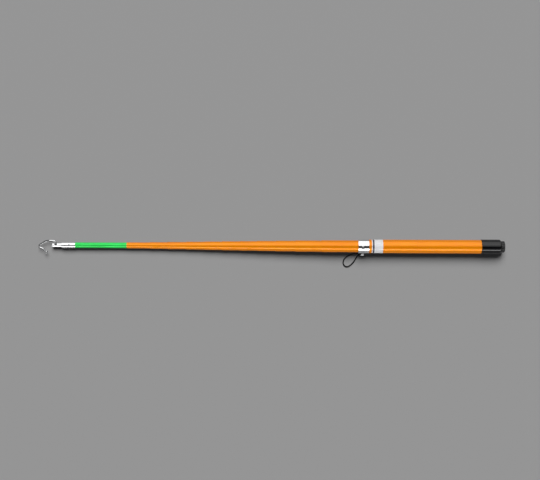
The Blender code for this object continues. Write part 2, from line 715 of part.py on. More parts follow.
def hook_and_ball(parent, pivot):
    line, ball, run = hook_line()
    end = ball - run * (BALL_RADIUS - BALL_SOCKET)
    points = [(x, y, 0.0) for x, y in line] + [(end.x, end.y, 0.0)]
    bent_bar("hook", points, HOOK_WIRE, CHROME, 3, parent, pivot)
    mesh = bpy.data.meshes.new("hook_ball")
    form = bmesh.new()
    bmesh.ops.create_uvsphere(form, u_segments=20, v_segments=12, radius=BALL_RADIUS)
    form.to_mesh(mesh)
    form.free()
    made = add_object("hook_ball", mesh, CHROME, None, parent)
    shade_smooth(made)
    made.location = Vector((ball.x, ball.y, 0.0)) - Vector(pivot)
    depth = BALL_RADIUS - BALL_SOCKET - FACE_GAP
    length = 2 * BALL_RADIUS
    centre = ball - run * (depth + length / 2)
    cut(made, rod_cutter("ball_socket", (centre.x, centre.y, 0.0), (run.x, run.y, 0.0),
                         HOOK_WIRE + SEAT, length, 24))
    return made


def build():
    outer_tube()
    mouth_collar()
    strap_tab()
    tab_rivet()
    end_cap()
    butt_pad()
    butt_plug()
    plug_seal()
    swing = empty("strap_swing", EYE_CENTRE)
    ring_torus("strap_ring", RING_WIRE, CHROME, parent=swing)
    cord_knot(swing)
    strap_cord(swing)
    carrier = None
    for index in range(1, SECTION_COUNT + 2):
        carrier = empty(section_name(index) + "_slide", parent=carrier)
        carrier["slides_in_and_out"] = slide_range(index)
        section(index, carrier)
    drill_for_head_screws(bpy.data.objects["tip_section"], "in_tip")
    tip_ferrule(carrier)
    hook_holder(carrier)
    ferrule_pin(carrier)
    ferrule_set_screw(carrier)
    clamp_screw(carrier)
    pivot = (-PIVOT_STATION, 0.0, 0.0)
    hook_and_ball(empty("hook_pivot", pivot, carrier), pivot)


build()
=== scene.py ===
"""Looks of a telescopic cable catcher pole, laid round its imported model.

The pole lies along X: the centre of its butt is the origin, and it runs towards -X. A place
along it is often given as its station, the distance from the butt, so station s lies at
x = -s. The hook lies in the XY plane, and +Z points up from the floor. All in metres.
"""
import json
import math

import bmesh
import bpy
from mathutils import Matrix, Vector


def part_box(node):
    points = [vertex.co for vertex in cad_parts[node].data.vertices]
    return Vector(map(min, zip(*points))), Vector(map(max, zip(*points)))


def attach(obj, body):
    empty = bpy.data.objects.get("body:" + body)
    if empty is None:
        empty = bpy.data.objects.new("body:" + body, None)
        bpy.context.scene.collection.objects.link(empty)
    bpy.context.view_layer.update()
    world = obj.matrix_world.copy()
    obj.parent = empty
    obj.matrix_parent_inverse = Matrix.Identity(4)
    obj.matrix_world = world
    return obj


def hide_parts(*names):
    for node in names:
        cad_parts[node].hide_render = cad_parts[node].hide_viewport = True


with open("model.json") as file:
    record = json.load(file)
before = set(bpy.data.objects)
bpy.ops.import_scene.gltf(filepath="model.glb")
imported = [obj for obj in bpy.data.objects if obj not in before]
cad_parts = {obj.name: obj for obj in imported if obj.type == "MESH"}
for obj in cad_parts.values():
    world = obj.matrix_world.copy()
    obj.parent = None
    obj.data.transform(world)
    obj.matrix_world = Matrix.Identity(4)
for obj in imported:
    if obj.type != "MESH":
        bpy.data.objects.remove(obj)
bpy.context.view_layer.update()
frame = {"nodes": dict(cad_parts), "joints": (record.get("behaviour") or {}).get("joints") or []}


CAD_SIDES = 32           # flats round the model's tubes
FLAT = math.cos(math.pi / CAD_SIDES)   # how far out a flat is, as a share of its corners' radius
FINE_SIDES = 128
SMALL_SIDES = 48
PLUG_SIDES = 192
ROUND_SIDES = 96         # the clamp screw's, and the ring's round its own centre
TUBE_RIM_STEPS = 3
SHARP_TURN = math.radians(30.0)        # edges that turn more are shaded sharp
GROWN_SHARP_TURN = math.radians(25.0)  # the same, for pieces made by Geometry Nodes
STRAIGHT_HOLD = 0.00025  # how near to its ends a long straight gets a point that holds its shading
GAP = 0.0003             # gap that touching pieces keep
SEAT = 0.0002            # radial gap between pieces that are pressed or screwed together
UP = (0.0, 0.0, 1.0)
ACROSS = (0.0, 1.0, 0.0)
TO_HEAD = (-1.0, 0.0, 0.0)
TO_BUTT = (1.0, 0.0, 0.0)

# Camera and floor
CAMERA_PLACE = (-0.63207, 0.0160, 2.6325)
CAMERA_ROLL = math.radians(0.237)
CAMERA_LENS = 65.0
FLOOR_REACH = 60.0
FLOOR_RISE = (0.457, 0.86)    # stations between which the floor comes up to the slimmer sections
FLOOR_BELOW_HEAD = 0.0022
FLOOR_GREY = (0.60, 0.60, 0.60)
LIGHT_DISTANCE = 12.0
LIGHT_STAGGER = 0.02     # further off for each degree of spread
LONG_LIGHT = 27.0        # length along the pole
SHORT_LIGHT = 7.0        # the hook's, so short that its cross bars stay grey
# Lights beside the pole: name, degrees from straight up towards +Y, spread in degrees, brightness
POLE_LIGHTS = (("upper", 15.0, 18.0, 1.1), ("main", 38.0, 28.0, 1.8), ("middle", 60.0, 16.0, 1.7),
               ("low", 79.0, 20.0, 1.3), ("side", -57.0, 50.0, 0.35), ("line", -57.0, 14.0, 4.5))
CHROME_LIGHT = ("sheen", -55.0, 54.0, 0.7)
HOOK_LIGHTS = (("upper", 16.0, 16.0, 1.0), ("main", 38.0, 28.0, 1.4), ("middle", 60.0, 16.0, 1.4),
               ("low", 79.0, 20.0, 1.1), ("side", -52.0, 60.0, 0.8))
# Lights off the hook's two ends: the same three measures, then each one's name and heading
HOOK_END_LIGHT = (50.0, 60.0, 0.3)
HOOK_END_HEADINGS = (("left", 90.0), ("right", -90.0))
FLOOR_LIGHTS = (("all_round", 0.86), ("past_hook", 1.04))   # name and brightness
FLOOR_LIGHT_ANGLE = 38.0
FLOOR_LIGHT_SPREAD = 37.0
# The room that the pieces mirror, and what the camera sees past the floor
ROOM_LEVEL = (0.12, 0.12, 0.125)
ROOM_OVERHEAD = (0.012, 0.012, 0.013)
ROOM_DARK_SIDE = (0.03, 0.03, 0.03)
PAST_FLOOR = (0.42, 0.42, 0.42)

# Telescopic tubes
TUBE_RIM = 0.0003
SECTION_RIM = 0.00012
SECTION_COUNT = 11

# Collar, cap, plug and pad
COLLAR_LIP = 0.0018
COLLAR_BEAD = 0.0006
CAP_END = 0.0050
CAP_ROUND = 0.0036
CAP_LIP = 0.0005
CAP_BORE_EDGE = 0.0002
CAP_HOLE_EDGE = 0.0004
PLUG_HEAD = 0.0102
PLUG_GRIPS = 16
GRIP_DEPTH = 0.0007
GRIP_FROM_FACE = 0.0006  # plain stretch between a face of the head and the grips
PLUG_EDGE = 0.0012
SHANK_EDGE = 0.0008
THREAD_FROM_END = 0.0010
THREAD_ROWS = 40
GRIP_ROWS = 8
SEAL_RADIUS = 0.00085
SEAL_GROOVE_DEPTH = 0.0018
THREAD_PITCH = 0.0020
THREAD_DEPTH = 0.00022
PAD_EDGE = 0.0006

# Grip band, a strip of white film round the grip
BAND_FRONT = 0.3583
BAND_REAR = 0.3281
BAND_FILM = 0.00015
BAND_GAP = 0.00002
BAND_STRIPE = (0.0046, 0.0044)   # how far its dark stripe's middle is from the front, and its width

# Strap tab, rivet and ring
TAB_THICKNESS = 0.0012
TAB_WIDTH = 0.0065
TAB_TOP_ANGLE = -3.0     # degrees from the top of the collar towards the cord's side
TAB_EYE_ANGLE = 98.0
TAB_NARROW_ANGLE = 55.0
EYE_WIDTH = 0.0050
EYE_TURN = 290.0
EYE_RADIUS = 0.0024
TAB_STEPS = 48
EYE_STEPS = 40
TAB_EDGE = 0.35          # radius of its long edges, as a share of its thickness
TAB_BLUNT = 0.02         # least width of its round end, as a share of its width, squared
RIVET_ANGLE = 9.0
RIVET_RADIUS = 0.0012
RIVET_DEPTH = 0.0009     # how deep it goes into the collar
# Where its hole in the collar starts, as a share of the collar's radius, and both holes' depths
COLLAR_HOLE_START = 0.9
COLLAR_HOLE_DEPTH = 0.006
TAB_HOLE_DEPTH = 0.004
RIVET_HEAD = 0.0021
RIVET_HEAD_HEIGHT = 0.0010
RIVET_EDGE = 0.0004
RING_RADIUS = 0.0056
RING_WIRE = 0.0009

# Cord and knot, braided from strands that wind both ways
CORD_RADIUS = 0.0016
CORD_STRAND = 0.00034    # radius of a strand
CORD_SPACING = 0.00028   # between the points along a strand
ROUTE_SPACING = 0.002    # between the points of the cord's own route
BRAID_STRANDS = 8        # each way
BRAID_PITCH = 0.0095
STRAND_SIDES = 6
STRAND_WAVE = 0.5        # how far a strand rises and dips, in strand radii
CORE_SIDES = 12
CORE_FILL = 0.35         # how far the core reaches past the strands' middle, in strand radii
PATH_PARTS = 16          # parts of a smooth curve between two of its given points
KNOT_ANGLE = 50.0        # degrees from straight down towards the head
KNOT_CORD_RADIUS = 0.0013
KNOT_STRAND = 0.0003
KNOT_SPACING = 0.00035
KNOT_TURNS = 2.6
KNOT_STEPS = 52
KNOT_RADIUS = 0.0021
KNOT_LENGTH = 0.0052
KNOT_FROM_RING = 0.0012
# The knot's own cord starts inside the ring: how far along the knot's axis, and how far out
KNOT_TAIL = ((-0.0030, 0.0), (-0.0026, 0.0014))

# Head
FERRULE_FRONT = 0.0030
FERRULE_ROUND = 0.0010
FERRULE_EDGE = 0.00018
NOSE_EDGE = 0.0005
NOSE_GROOVE = 0.0005
NOSE_GROOVE_PLACES = (0.36, 0.22)
NOSE_GROOVE_HALF = 0.0007
NOSE_FLANGE = 0.0040
NOTCH_FLOOR = 0.0005
NOTCH_GAP = 0.0008
PIN_FROM_REAR = 0.0054
PIN_RADIUS = 0.0012
PIN_EDGE = 0.00025
SET_SCREW_FROM_REAR = 0.0162
SET_SCREW_RADIUS = 0.0022
SET_SCREW_EDGE = 0.0003
SET_SCREW_SLOT = (0.01, 0.0007, 0.0008)   # length, width and depth of the cut
CLAMP_SHANK_RADIUS = 0.0024
CLAMP_EDGE = 0.0006
CLAMP_DOME = 0.35        # where the domed part of the head starts, as a share of its height
CLAMP_SLOT = (0.03, 0.0012, 0.0018)
DOME_STEP = 6            # degrees between the points of its dome
HEAD_CUT = 0.02          # length of the cuts that go through the head

# Hook
HOOK_WIRE = 0.0031       # radius of its bar
HOOK_HOLE_GAP = 0.00015
HOOK_ROOT_END = 0.0053   # how far the root's end stands out on the -Y side
HOOK_RISE = 0.0041       # how far from the axis, on the +Y side, the first bend starts
# The root's rounded end: how far along it, and how much slimmer the bar is there
ROOT_ROUND = ((0.0001, 0.0005), (0.0003, 0.0002), (0.0006, 0.0))
BAR_CLOSING = 0.00001    # length in which the bar's hidden end closes
# The bends in turn, each with its degrees to the left, its radius and the straight after it
HOOK_BENDS = ((90.0, 0.0070, 0.0155), (32.0, 0.0140, 0.0159), (126.0, 0.0042, 0.0075),
              (-26.0, 0.0080, 0.0098))
BEND_STEP = 4.0
BALL_RADIUS = 0.0052
BALL_SOCKET = 0.0030     # how deep the bar goes into the ball
BALL_HOLE_GAP = 0.00008
BALL_STEP = 5            # degrees between its points


def added(name, data):
    """A new object in the scene."""
    made = bpy.data.objects.new(name, data)
    bpy.context.collection.objects.link(made)
    return made


def make_camera():
    camera = bpy.data.cameras.new("photo_camera")
    camera.lens = CAMERA_LENS
    camera.sensor_width = 36.0
    camera.clip_end = 100.0
    made = added("photo_camera", camera)
    made.location = CAMERA_PLACE
    made.rotation_euler = (0.0, 0.0, CAMERA_ROLL)
    bpy.context.scene.camera = made


make_camera()


# Node trees

def feed(tree, socket, value):
    """Links a socket to another one, or sets it to a plain value."""
    if isinstance(value, bpy.types.NodeSocket):
        tree.links.new(value, socket)
    else:
        socket.default_value = value


def node(tree, kind, inputs=None, **settings):
    """Adds a node with its settings, and feeds its inputs by their names or numbers."""
    made = tree.nodes.new(kind)
    for key, value in settings.items():
        setattr(made, key, value)
    for key, value in (inputs or {}).items():
        feed(tree, made.inputs[key], value)
    return made


def calculate(tree, operation, first, second=0.0, third=0.0):
    return node(tree, "ShaderNodeMath", {0: first, 1: second, 2: third},
                operation=operation).outputs[0]


def vectors(tree, operation, first, second=(0.0, 0.0, 0.0)):
    return node(tree, "ShaderNodeVectorMath", {0: first, 1: second}, operation=operation).outputs[0]


def combine(tree, x=0.0, y=0.0, z=0.0):
    return node(tree, "ShaderNodeCombineXYZ", {"X": x, "Y": y, "Z": z}).outputs[0]


def split(tree, vector):
    return node(tree, "ShaderNodeSeparateXYZ", {0: vector}).outputs


def scaled(tree, vector, factor):
    return node(tree, "ShaderNodeVectorMath", {0: vector, "Scale": factor},
                operation="SCALE").outputs[0]


def add_sockets(tree, side, sockets):
    """Gives a tree its own sockets of (kind, name) on its INPUT or OUTPUT side."""
    for kind, label in sockets:
        tree.interface.new_socket(label, in_out=side, socket_type="NodeSocket" + kind)


def geometry_tree(name, inputs):
    """A Geometry Nodes tree with named inputs of (kind, name), and its group input's sockets."""
    tree = bpy.data.node_groups.new(name, "GeometryNodeTree")
    shape = ("Geometry", "Geometry")
    add_sockets(tree, "INPUT", [shape, *inputs])
    add_sockets(tree, "OUTPUT", [shape])
    return tree, tree.nodes.new("NodeGroupInput").outputs


def finish_tree(tree, shape, finish):
    """Smooth faces, sharp edges where they turn, real geometry and the finish."""
    smooth = node(tree, "GeometryNodeSetShadeSmooth", {"Geometry": shape, "Shade Smooth": True})
    turn = node(tree, "GeometryNodeInputMeshEdgeAngle").outputs["Unsigned Angle"]
    hard = calculate(tree, "GREATER_THAN", turn, GROWN_SHARP_TURN)
    sharp = node(tree, "GeometryNodeSetShadeSmooth", {"Geometry": smooth.outputs[0],
                 "Selection": hard, "Shade Smooth": False}, domain="EDGE")
    real = node(tree, "GeometryNodeRealizeInstances", {"Geometry": sharp.outputs[0]})
    dressed = node(tree, "GeometryNodeSetMaterial", {"Geometry": real.outputs[0],
                   "Material": finish})
    node(tree, "NodeGroupOutput", {0: dressed.outputs[0]})


def grown(name, tree, values, start=None):
    """The plain mesh that a tree makes from its named values, on an object at the origin."""
    seed = added(name + "_start", start or bpy.data.meshes.new(name + "_start"))
    modifier = seed.modifiers.new("shape", "NODES")
    modifier.node_group = tree
    for item in tree.interface.items_tree:
        if item.in_out == "INPUT" and item.name in values:
            modifier[item.identifier] = values[item.name]
    seed.update_tag()
    evaluated = seed.evaluated_get(bpy.context.evaluated_depsgraph_get())
    mesh = bpy.data.meshes.new_from_object(evaluated)
    mesh.name = name
    bpy.data.objects.remove(seed, do_unlink=True)
    return added(name, mesh)


def tapered_tube_tree():
    """A tube with rounded rims, whose radius and bore change evenly from mouth to base."""
    tree, given = geometry_tree("tapered_tube", [
        ("Float", "Mouth Radius"), ("Float", "Mouth Bore"), ("Float", "Base Radius"),
        ("Float", "Base Bore"), ("Float", "Length"), ("Float", "Rim"), ("Float", "Mouth X"),
        ("Int", "Sides"), ("Material", "Finish")])
    wall = calculate(tree, "SUBTRACT", given["Mouth Radius"], given["Mouth Bore"])
    middle = calculate(tree, "MULTIPLY_ADD", wall, 0.5, given["Mouth Bore"])
    path = node(tree, "GeometryNodeCurvePrimitiveCircle", {"Resolution": given["Sides"],
                "Radius": middle})
    outline = node(tree, "GeometryNodeCurvePrimitiveQuadrilateral", {"Width": wall,
                   "Height": given["Length"]})
    rims = node(tree, "GeometryNodeFilletCurve", {"Curve": outline.outputs[0], "Count": TUBE_RIM_STEPS,
                "Radius": given["Rim"], "Limit Radius": True}, mode="POLY")
    ring = node(tree, "GeometryNodeCurveToMesh", {"Curve": path.outputs[0],
                "Profile Curve": rims.outputs[0]})
    place = combine(tree, calculate(tree, "MULTIPLY_ADD", given["Length"], 0.5, given["Mouth X"]))
    laid = node(tree, "GeometryNodeTransform", {"Geometry": ring.outputs[0], "Translation": place,
                "Rotation": (0.0, math.pi / 2, 0.0)})
    spot = split(tree, node(tree, "GeometryNodeInputPosition").outputs[0])
    share = calculate(tree, "DIVIDE", calculate(tree, "SUBTRACT", spot["X"], given["Mouth X"]),
                      given["Length"])
    across = combine(tree, 0.0, spot["Y"], spot["Z"])
    radius = node(tree, "ShaderNodeVectorMath", {0: across}, operation="LENGTH").outputs["Value"]
    depth = calculate(tree, "DIVIDE", calculate(tree, "SUBTRACT", radius, given["Mouth Bore"]), wall)
    base_wall = calculate(tree, "SUBTRACT", given["Base Radius"], given["Base Bore"])
    at_mouth = calculate(tree, "MULTIPLY_ADD", depth, wall, given["Mouth Bore"])
    at_base = calculate(tree, "MULTIPLY_ADD", depth, base_wall, given["Base Bore"])
    widening = calculate(tree, "MULTIPLY", share, calculate(tree, "SUBTRACT", at_base, at_mouth))
    outward = vectors(tree, "NORMALIZE", across)
    shaped = node(tree, "GeometryNodeSetPosition", {"Geometry": laid.outputs[0],
                  "Offset": scaled(tree, outward, widening)})
    finish_tree(tree, shaped.outputs[0], given["Finish"])
    return tree


def braided_cord_tree():
    """Strands that wind both ways round a filled core and pass over and under each other."""
    tree, given = geometry_tree("braided_cord", [
        ("Float", "Radius"), ("Float", "Strand Radius"), ("Float", "Pitch"), ("Int", "Strands"),
        ("Float", "Point Spacing"), ("Material", "Finish")])
    even = node(tree, "GeometryNodeResampleCurve", {"Curve": given["Geometry"],
                "Length": given["Point Spacing"]}, mode="LENGTH")
    measured = node(tree, "GeometryNodeCaptureAttribute", {"Geometry": even.outputs[0]})
    measured.capture_items.new("VECTOR", "Side")
    measured.capture_items.new("VECTOR", "Heading")
    measured.capture_items.new("FLOAT", "Walked")
    walked = node(tree, "GeometryNodeSplineParameter").outputs["Length"]
    tree.links.new(node(tree, "GeometryNodeInputNormal").outputs[0], measured.inputs["Side"])
    tree.links.new(node(tree, "GeometryNodeInputTangent").outputs[0], measured.inputs["Heading"])
    tree.links.new(walked, measured.inputs["Walked"])
    both = calculate(tree, "MULTIPLY", given["Strands"], 2.0)
    strands = node(tree, "GeometryNodeDuplicateElements", {"Geometry": measured.outputs[0],
                   "Amount": both}, domain="SPLINE")
    number = strands.outputs["Duplicate Index"]
    way = calculate(tree, "MULTIPLY_ADD", calculate(tree, "MODULO", number, 2.0), 2.0, -1.0)
    start = calculate(tree, "DIVIDE", calculate(tree, "FLOOR", calculate(tree, "DIVIDE", number, 2.0)),
                      given["Strands"])
    turns = calculate(tree, "DIVIDE", measured.outputs["Walked"], given["Pitch"])
    angle = calculate(tree, "MULTIPLY", calculate(tree, "MULTIPLY_ADD", turns, way, start), math.tau)
    crossing = calculate(tree, "MULTIPLY", calculate(tree, "MULTIPLY", turns, given["Strands"]),
                         math.tau)
    wave = calculate(tree, "MULTIPLY", calculate(tree, "COSINE", crossing), way)
    reach = calculate(tree, "SUBTRACT", given["Radius"],
                      calculate(tree, "MULTIPLY", given["Strand Radius"], 1.0 + STRAND_WAVE))
    out = calculate(tree, "MULTIPLY_ADD", wave,
                    calculate(tree, "MULTIPLY", given["Strand Radius"], STRAND_WAVE), reach)
    side = measured.outputs["Side"]
    other = vectors(tree, "CROSS_PRODUCT", measured.outputs["Heading"], side)
    direction = vectors(tree, "ADD", scaled(tree, side, calculate(tree, "COSINE", angle)),
                        scaled(tree, other, calculate(tree, "SINE", angle)))
    wound = node(tree, "GeometryNodeSetPosition", {"Geometry": strands.outputs["Geometry"],
                 "Offset": scaled(tree, direction, out)})
    thread = node(tree, "GeometryNodeCurvePrimitiveCircle", {"Resolution": STRAND_SIDES,
                  "Radius": given["Strand Radius"]})
    braid = node(tree, "GeometryNodeCurveToMesh", {"Curve": wound.outputs[0],
                 "Profile Curve": thread.outputs[0], "Fill Caps": True})
    core = node(tree, "GeometryNodeCurvePrimitiveCircle", {"Resolution": CORE_SIDES, "Radius":
                calculate(tree, "MULTIPLY_ADD", given["Strand Radius"], CORE_FILL, reach)})
    filling = node(tree, "GeometryNodeCurveToMesh", {"Curve": even.outputs[0],
                   "Profile Curve": core.outputs[0], "Fill Caps": True})
    whole = node(tree, "GeometryNodeJoinGeometry")
    tree.links.new(braid.outputs[0], whole.inputs[0])
    tree.links.new(filling.outputs[0], whole.inputs[0])
    finish_tree(tree, whole.outputs[0], given["Finish"])
    return tree


# Shader groups

def shader_group(name, inputs, outputs):
    """A shader node group with named sockets of (kind, name), its inputs and its output node."""
    tree = bpy.data.node_groups.new(name, "ShaderNodeTree")
    add_sockets(tree, "INPUT", inputs)
    add_sockets(tree, "OUTPUT", outputs)
    return tree, tree.nodes.new("NodeGroupInput").outputs, tree.nodes.new("NodeGroupOutput").inputs


def noise(tree, vector, scale, detail=2.0, roughness=0.5):
    return node(tree, "ShaderNodeTexNoise", {"Vector": vector, "Scale": scale, "Detail": detail,
                "Roughness": roughness}).outputs[0]


def fit(tree, value, low, high, to_low=0.0, to_high=1.0):
    return node(tree, "ShaderNodeMapRange", {"Value": value, "From Min": low, "From Max": high,
                "To Min": to_low, "To Max": to_high}).outputs[0]


def fibre_winding_group():
    """Glass fibres along the pole, and the low ridges of the tape that pressed them."""
    tree, given, out = shader_group("fibre_winding", [("Vector", "Position"), ("Float", "Tape Pitch")],
                                    [("Float", "Streak"), ("Float", "Cloud"), ("Float", "Height")])
    spot = split(tree, given["Position"])
    strands = noise(tree, vectors(tree, "MULTIPLY", given["Position"], (9.0, 900.0, 900.0)), 1.0,
                    3.0, 0.6)
    tree.links.new(fit(tree, strands, 0.35, 0.68), out["Streak"])
    cloud = noise(tree, vectors(tree, "MULTIPLY", given["Position"], (14.0, 60.0, 60.0)), 1.0, 3.0)
    tree.links.new(fit(tree, cloud, 0.3, 0.7), out["Cloud"])
    angle = calculate(tree, "DIVIDE", calculate(tree, "ARCTAN2", spot["Y"], spot["Z"]), math.tau)
    turns = calculate(tree, "ADD", calculate(tree, "DIVIDE", spot["X"], given["Tape Pitch"]), angle)
    ridge = calculate(tree, "PINGPONG", turns, 0.5)
    soft = calculate(tree, "POWER", calculate(tree, "MULTIPLY", ridge, 2.0), 6.0)
    tree.links.new(calculate(tree, "MULTIPLY_ADD", strands, 0.35, soft), out["Height"])
    return tree


def handling_marks_group():
    """Smudges from hands, and fine scratches that run several ways."""
    tree, given, out = shader_group("handling_marks", [("Vector", "Position"), ("Float", "Fineness")],
                                    [("Float", "Smudge"), ("Float", "Scratch")])
    cloud = noise(tree, scaled(tree, given["Position"], given["Fineness"]), 0.35, 4.0, 0.65)
    tree.links.new(fit(tree, cloud, 0.38, 0.72), out["Smudge"])
    lines = None
    for turn, length, width in ((0.35, 0.5, 9.0), (-0.6, 0.4, 11.0), (1.4, 0.6, 10.0)):
        turned_spot = node(tree, "ShaderNodeVectorRotate", {"Vector": given["Position"],
                           "Angle": turn, "Axis": (0.3, 0.4, 0.87)}).outputs[0]
        drawn_out = vectors(tree, "MULTIPLY", turned_spot, (length, width, width))
        fine = scaled(tree, drawn_out, given["Fineness"])
        off = calculate(tree, "ABSOLUTE", calculate(tree, "SUBTRACT", noise(tree, fine, 0.25, 1.0), 0.5))
        line = fit(tree, off, 0.0, 0.012, 1.0, 0.0)
        lines = line if lines is None else calculate(tree, "MAXIMUM", lines, line)
    patches = fit(tree, noise(tree, scaled(tree, given["Position"], given["Fineness"]), 0.5, 2.0),
                  0.5, 0.62)
    tree.links.new(calculate(tree, "MULTIPLY", lines, patches), out["Scratch"])
    return tree


def blended(tree, share, first, second):
    """A colour between two, by a share from 0 to 1."""
    made = node(tree, "ShaderNodeMix", {"Factor": share}, data_type="RGBA")
    for socket, value in ((made.inputs[6], first), (made.inputs[7], second)):
        feed(tree, socket, (*value, 1.0) if isinstance(value, tuple) else value)
    return made.outputs[2]


def material(name, **sockets):
    """A material with its Principled shader's plain values set, its tree and object position."""
    made = bpy.data.materials.new(name)
    made.use_nodes = True
    tree = made.node_tree
    shader = tree.nodes["Principled BSDF"]
    for label, value in sockets.items():
        shader.inputs[label.replace("_", " ")].default_value = value
    spot = node(tree, "ShaderNodeTexCoord").outputs["Object"]
    return made, tree, shader.inputs, spot


def bump(tree, shader, height, strength, distance):
    made = node(tree, "ShaderNodeBump", {"Height": height, "Strength": strength,
                "Distance": distance})
    tree.links.new(made.outputs[0], shader["Normal"])


WINDING = fibre_winding_group()
MARKS = handling_marks_group()


def marked(tree, spot, fineness):
    """Outputs of the handling marks, Smudge and Scratch, at a fineness."""
    return node(tree, "ShaderNodeGroup", {"Position": spot, "Fineness": fineness},
                node_tree=MARKS).outputs


def coloured(tree, shader, share, first, second):
    tree.links.new(blended(tree, share, first, second), shader["Base Color"])


def roughened(tree, shader, marks, clean, smudged, scratched=0.0):
    """A clean roughness, to which smudges and scratches add their own."""
    rough = calculate(tree, "MULTIPLY_ADD", marks["Smudge"], smudged, clean)
    if scratched:
        rough = calculate(tree, "MULTIPLY_ADD", marks["Scratch"], scratched, rough)
    tree.links.new(rough, shader["Roughness"])


def fibreglass(name, bright, deep, raw):
    """Coloured resin over wound glass fibre, with a clear coat."""
    made, tree, shader, spot = material(name, Metallic=0.3, Coat_Weight=0.5,
                                        Coat_Roughness=0.1, Specular_IOR_Level=0.0)
    winding = node(tree, "ShaderNodeGroup", {"Position": spot, "Tape Pitch": 0.0045},
                   node_tree=WINDING).outputs
    marks = marked(tree, spot, 180.0)
    base = blended(tree, winding["Cloud"], deep, bright)
    streaks = calculate(tree, "MULTIPLY", winding["Streak"], 0.22)
    coloured(tree, shader, streaks, base, raw)
    roughened(tree, shader, marks, 0.28, 0.1)
    bump(tree, shader, winding["Height"], 0.1, 0.00004)
    return made


def chrome_plate():
    made, tree, shader, spot = material("polished_chrome", Metallic=1.0)
    marks = marked(tree, spot, 320.0)
    coloured(tree, shader, marks["Smudge"], (0.92, 0.93, 0.94), (0.84, 0.84, 0.84))
    roughened(tree, shader, marks, 0.03, 0.06, 0.16)
    bump(tree, shader, marks["Scratch"], 0.2, 0.00001)
    return made


def satin_steel():
    """Plated steel that was brushed and not polished, duller than the collar under it."""
    made, tree, shader, spot = material("satin_steel", Metallic=1.0)
    marks = marked(tree, spot, 420.0)
    grain = noise(tree, vectors(tree, "MULTIPLY", spot, (3000.0, 250.0, 250.0)), 1.0, 2.0)
    coloured(tree, shader, grain, (0.62, 0.62, 0.63), (0.78, 0.78, 0.79))
    roughened(tree, shader, marks, 0.2, 0.08, 0.1)
    bump(tree, shader, grain, 0.1, 0.00001)
    return made


def blackened_steel():
    made, tree, shader, spot = material("blackened_steel", Metallic=1.0)
    marks = marked(tree, spot, 500.0)
    coloured(tree, shader, marks["Scratch"], (0.09, 0.09, 0.10), (0.40, 0.40, 0.41))
    roughened(tree, shader, marks, 0.3, 0.2)
    bump(tree, shader, marks["Smudge"], 0.2, 0.00003)
    return made


def black_plastic():
    made, tree, shader, spot = material("moulded_black_plastic", Specular_IOR_Level=0.45)
    marks = marked(tree, spot, 220.0)
    grain = noise(tree, spot, 2600.0, 2.0)
    coloured(tree, shader, marks["Smudge"], (0.0025, 0.0025, 0.003), (0.006, 0.006, 0.007))
    roughened(tree, shader, marks, 0.09, 0.08, 0.15)
    bump(tree, shader, grain, 0.15, 0.00003)
    return made


def rubber():
    made, tree, shader, spot = material("matt_rubber", Specular_IOR_Level=0.3)
    grain = noise(tree, spot, 1900.0, 4.0, 0.7)
    coloured(tree, shader, grain, (0.010, 0.010, 0.010), (0.028, 0.027, 0.026))
    tree.links.new(fit(tree, grain, 0.3, 0.7, 0.62, 0.85), shader["Roughness"])
    bump(tree, shader, grain, 0.4, 0.00006)
    return made


def cord_yarn():
    made, tree, shader, spot = material("black_cord_yarn", Sheen_Weight=0.02, Sheen_Roughness=0.5,
                                        Specular_IOR_Level=0.1)
    fluff = noise(tree, spot, 5200.0, 3.0, 0.6)
    coloured(tree, shader, fluff, (0.001, 0.001, 0.0012), (0.005, 0.005, 0.006))
    tree.links.new(fit(tree, fluff, 0.3, 0.7, 0.6, 0.9), shader["Roughness"])
    bump(tree, shader, fluff, 0.5, 0.00006)
    return made


def white_film():
    """White film with one plain dark stripe near its front edge, wrapped round the grip."""
    made, tree, shader, spot = material("white_film", Specular_IOR_Level=0.5, Coat_Weight=0.3,
                                        Coat_Roughness=0.15)
    marks = marked(tree, spot, 200.0)
    film = blended(tree, marks["Smudge"], (0.82, 0.82, 0.84), (0.74, 0.74, 0.76))
    middle, width = BAND_STRIPE
    stripe = calculate(tree, "COMPARE", split(tree, spot)["X"], middle - BAND_FRONT, width / 2)
    coloured(tree, shader, stripe, film, (0.030, 0.022, 0.045))
    roughened(tree, shader, marks, 0.3, 0.15)
    bump(tree, shader, marks["Smudge"], 0.15, 0.00005)
    return made


ORANGE = fibreglass("orange_fibreglass", (0.97, 0.285, 0.002), (0.92, 0.24, 0.001), (0.98, 0.43, 0.015))
GREEN = fibreglass("green_fibreglass", (0.010, 0.80, 0.11), (0.005, 0.62, 0.07), (0.25, 0.92, 0.32))
CHROME = chrome_plate()
SATIN = satin_steel()
STEEL = blackened_steel()
BLACK = black_plastic()
RUBBER = rubber()
YARN = cord_yarn()
FILM = white_film()


# Shapes

def settled(piece, finish, body, *nodes):
    """Gives a finished piece its material, its body and the model's nodes that it stands for.

    A piece throws no coloured light on the floor, which stays plain beside the pole.
    """
    if not piece.data.materials:
        piece.data.materials.append(finish)
    piece.visible_diffuse = False
    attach(piece, body)
    if nodes:
        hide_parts(*nodes)
    return piece


def shade(mesh):
    mesh.shade_smooth()
    mesh.set_sharp_from_angle(angle=SHARP_TURN)


def placed_mesh(name, form):
    """An object at the origin from a closed bmesh, with its faces outwards."""
    bmesh.ops.recalc_face_normals(form, faces=form.faces)
    mesh = bpy.data.meshes.new(name)
    form.to_mesh(mesh)
    form.free()
    shade(mesh)
    return added(name, mesh)


def arc(centre, radius, start, end, count):
    """Points on an arc in a plane, with its angles in degrees."""
    points = []
    for step in range(count + 1):
        angle = math.radians(start + (end - start) * step / count)
        points.append((centre[0] + radius * math.cos(angle), centre[1] + radius * math.sin(angle)))
    return points


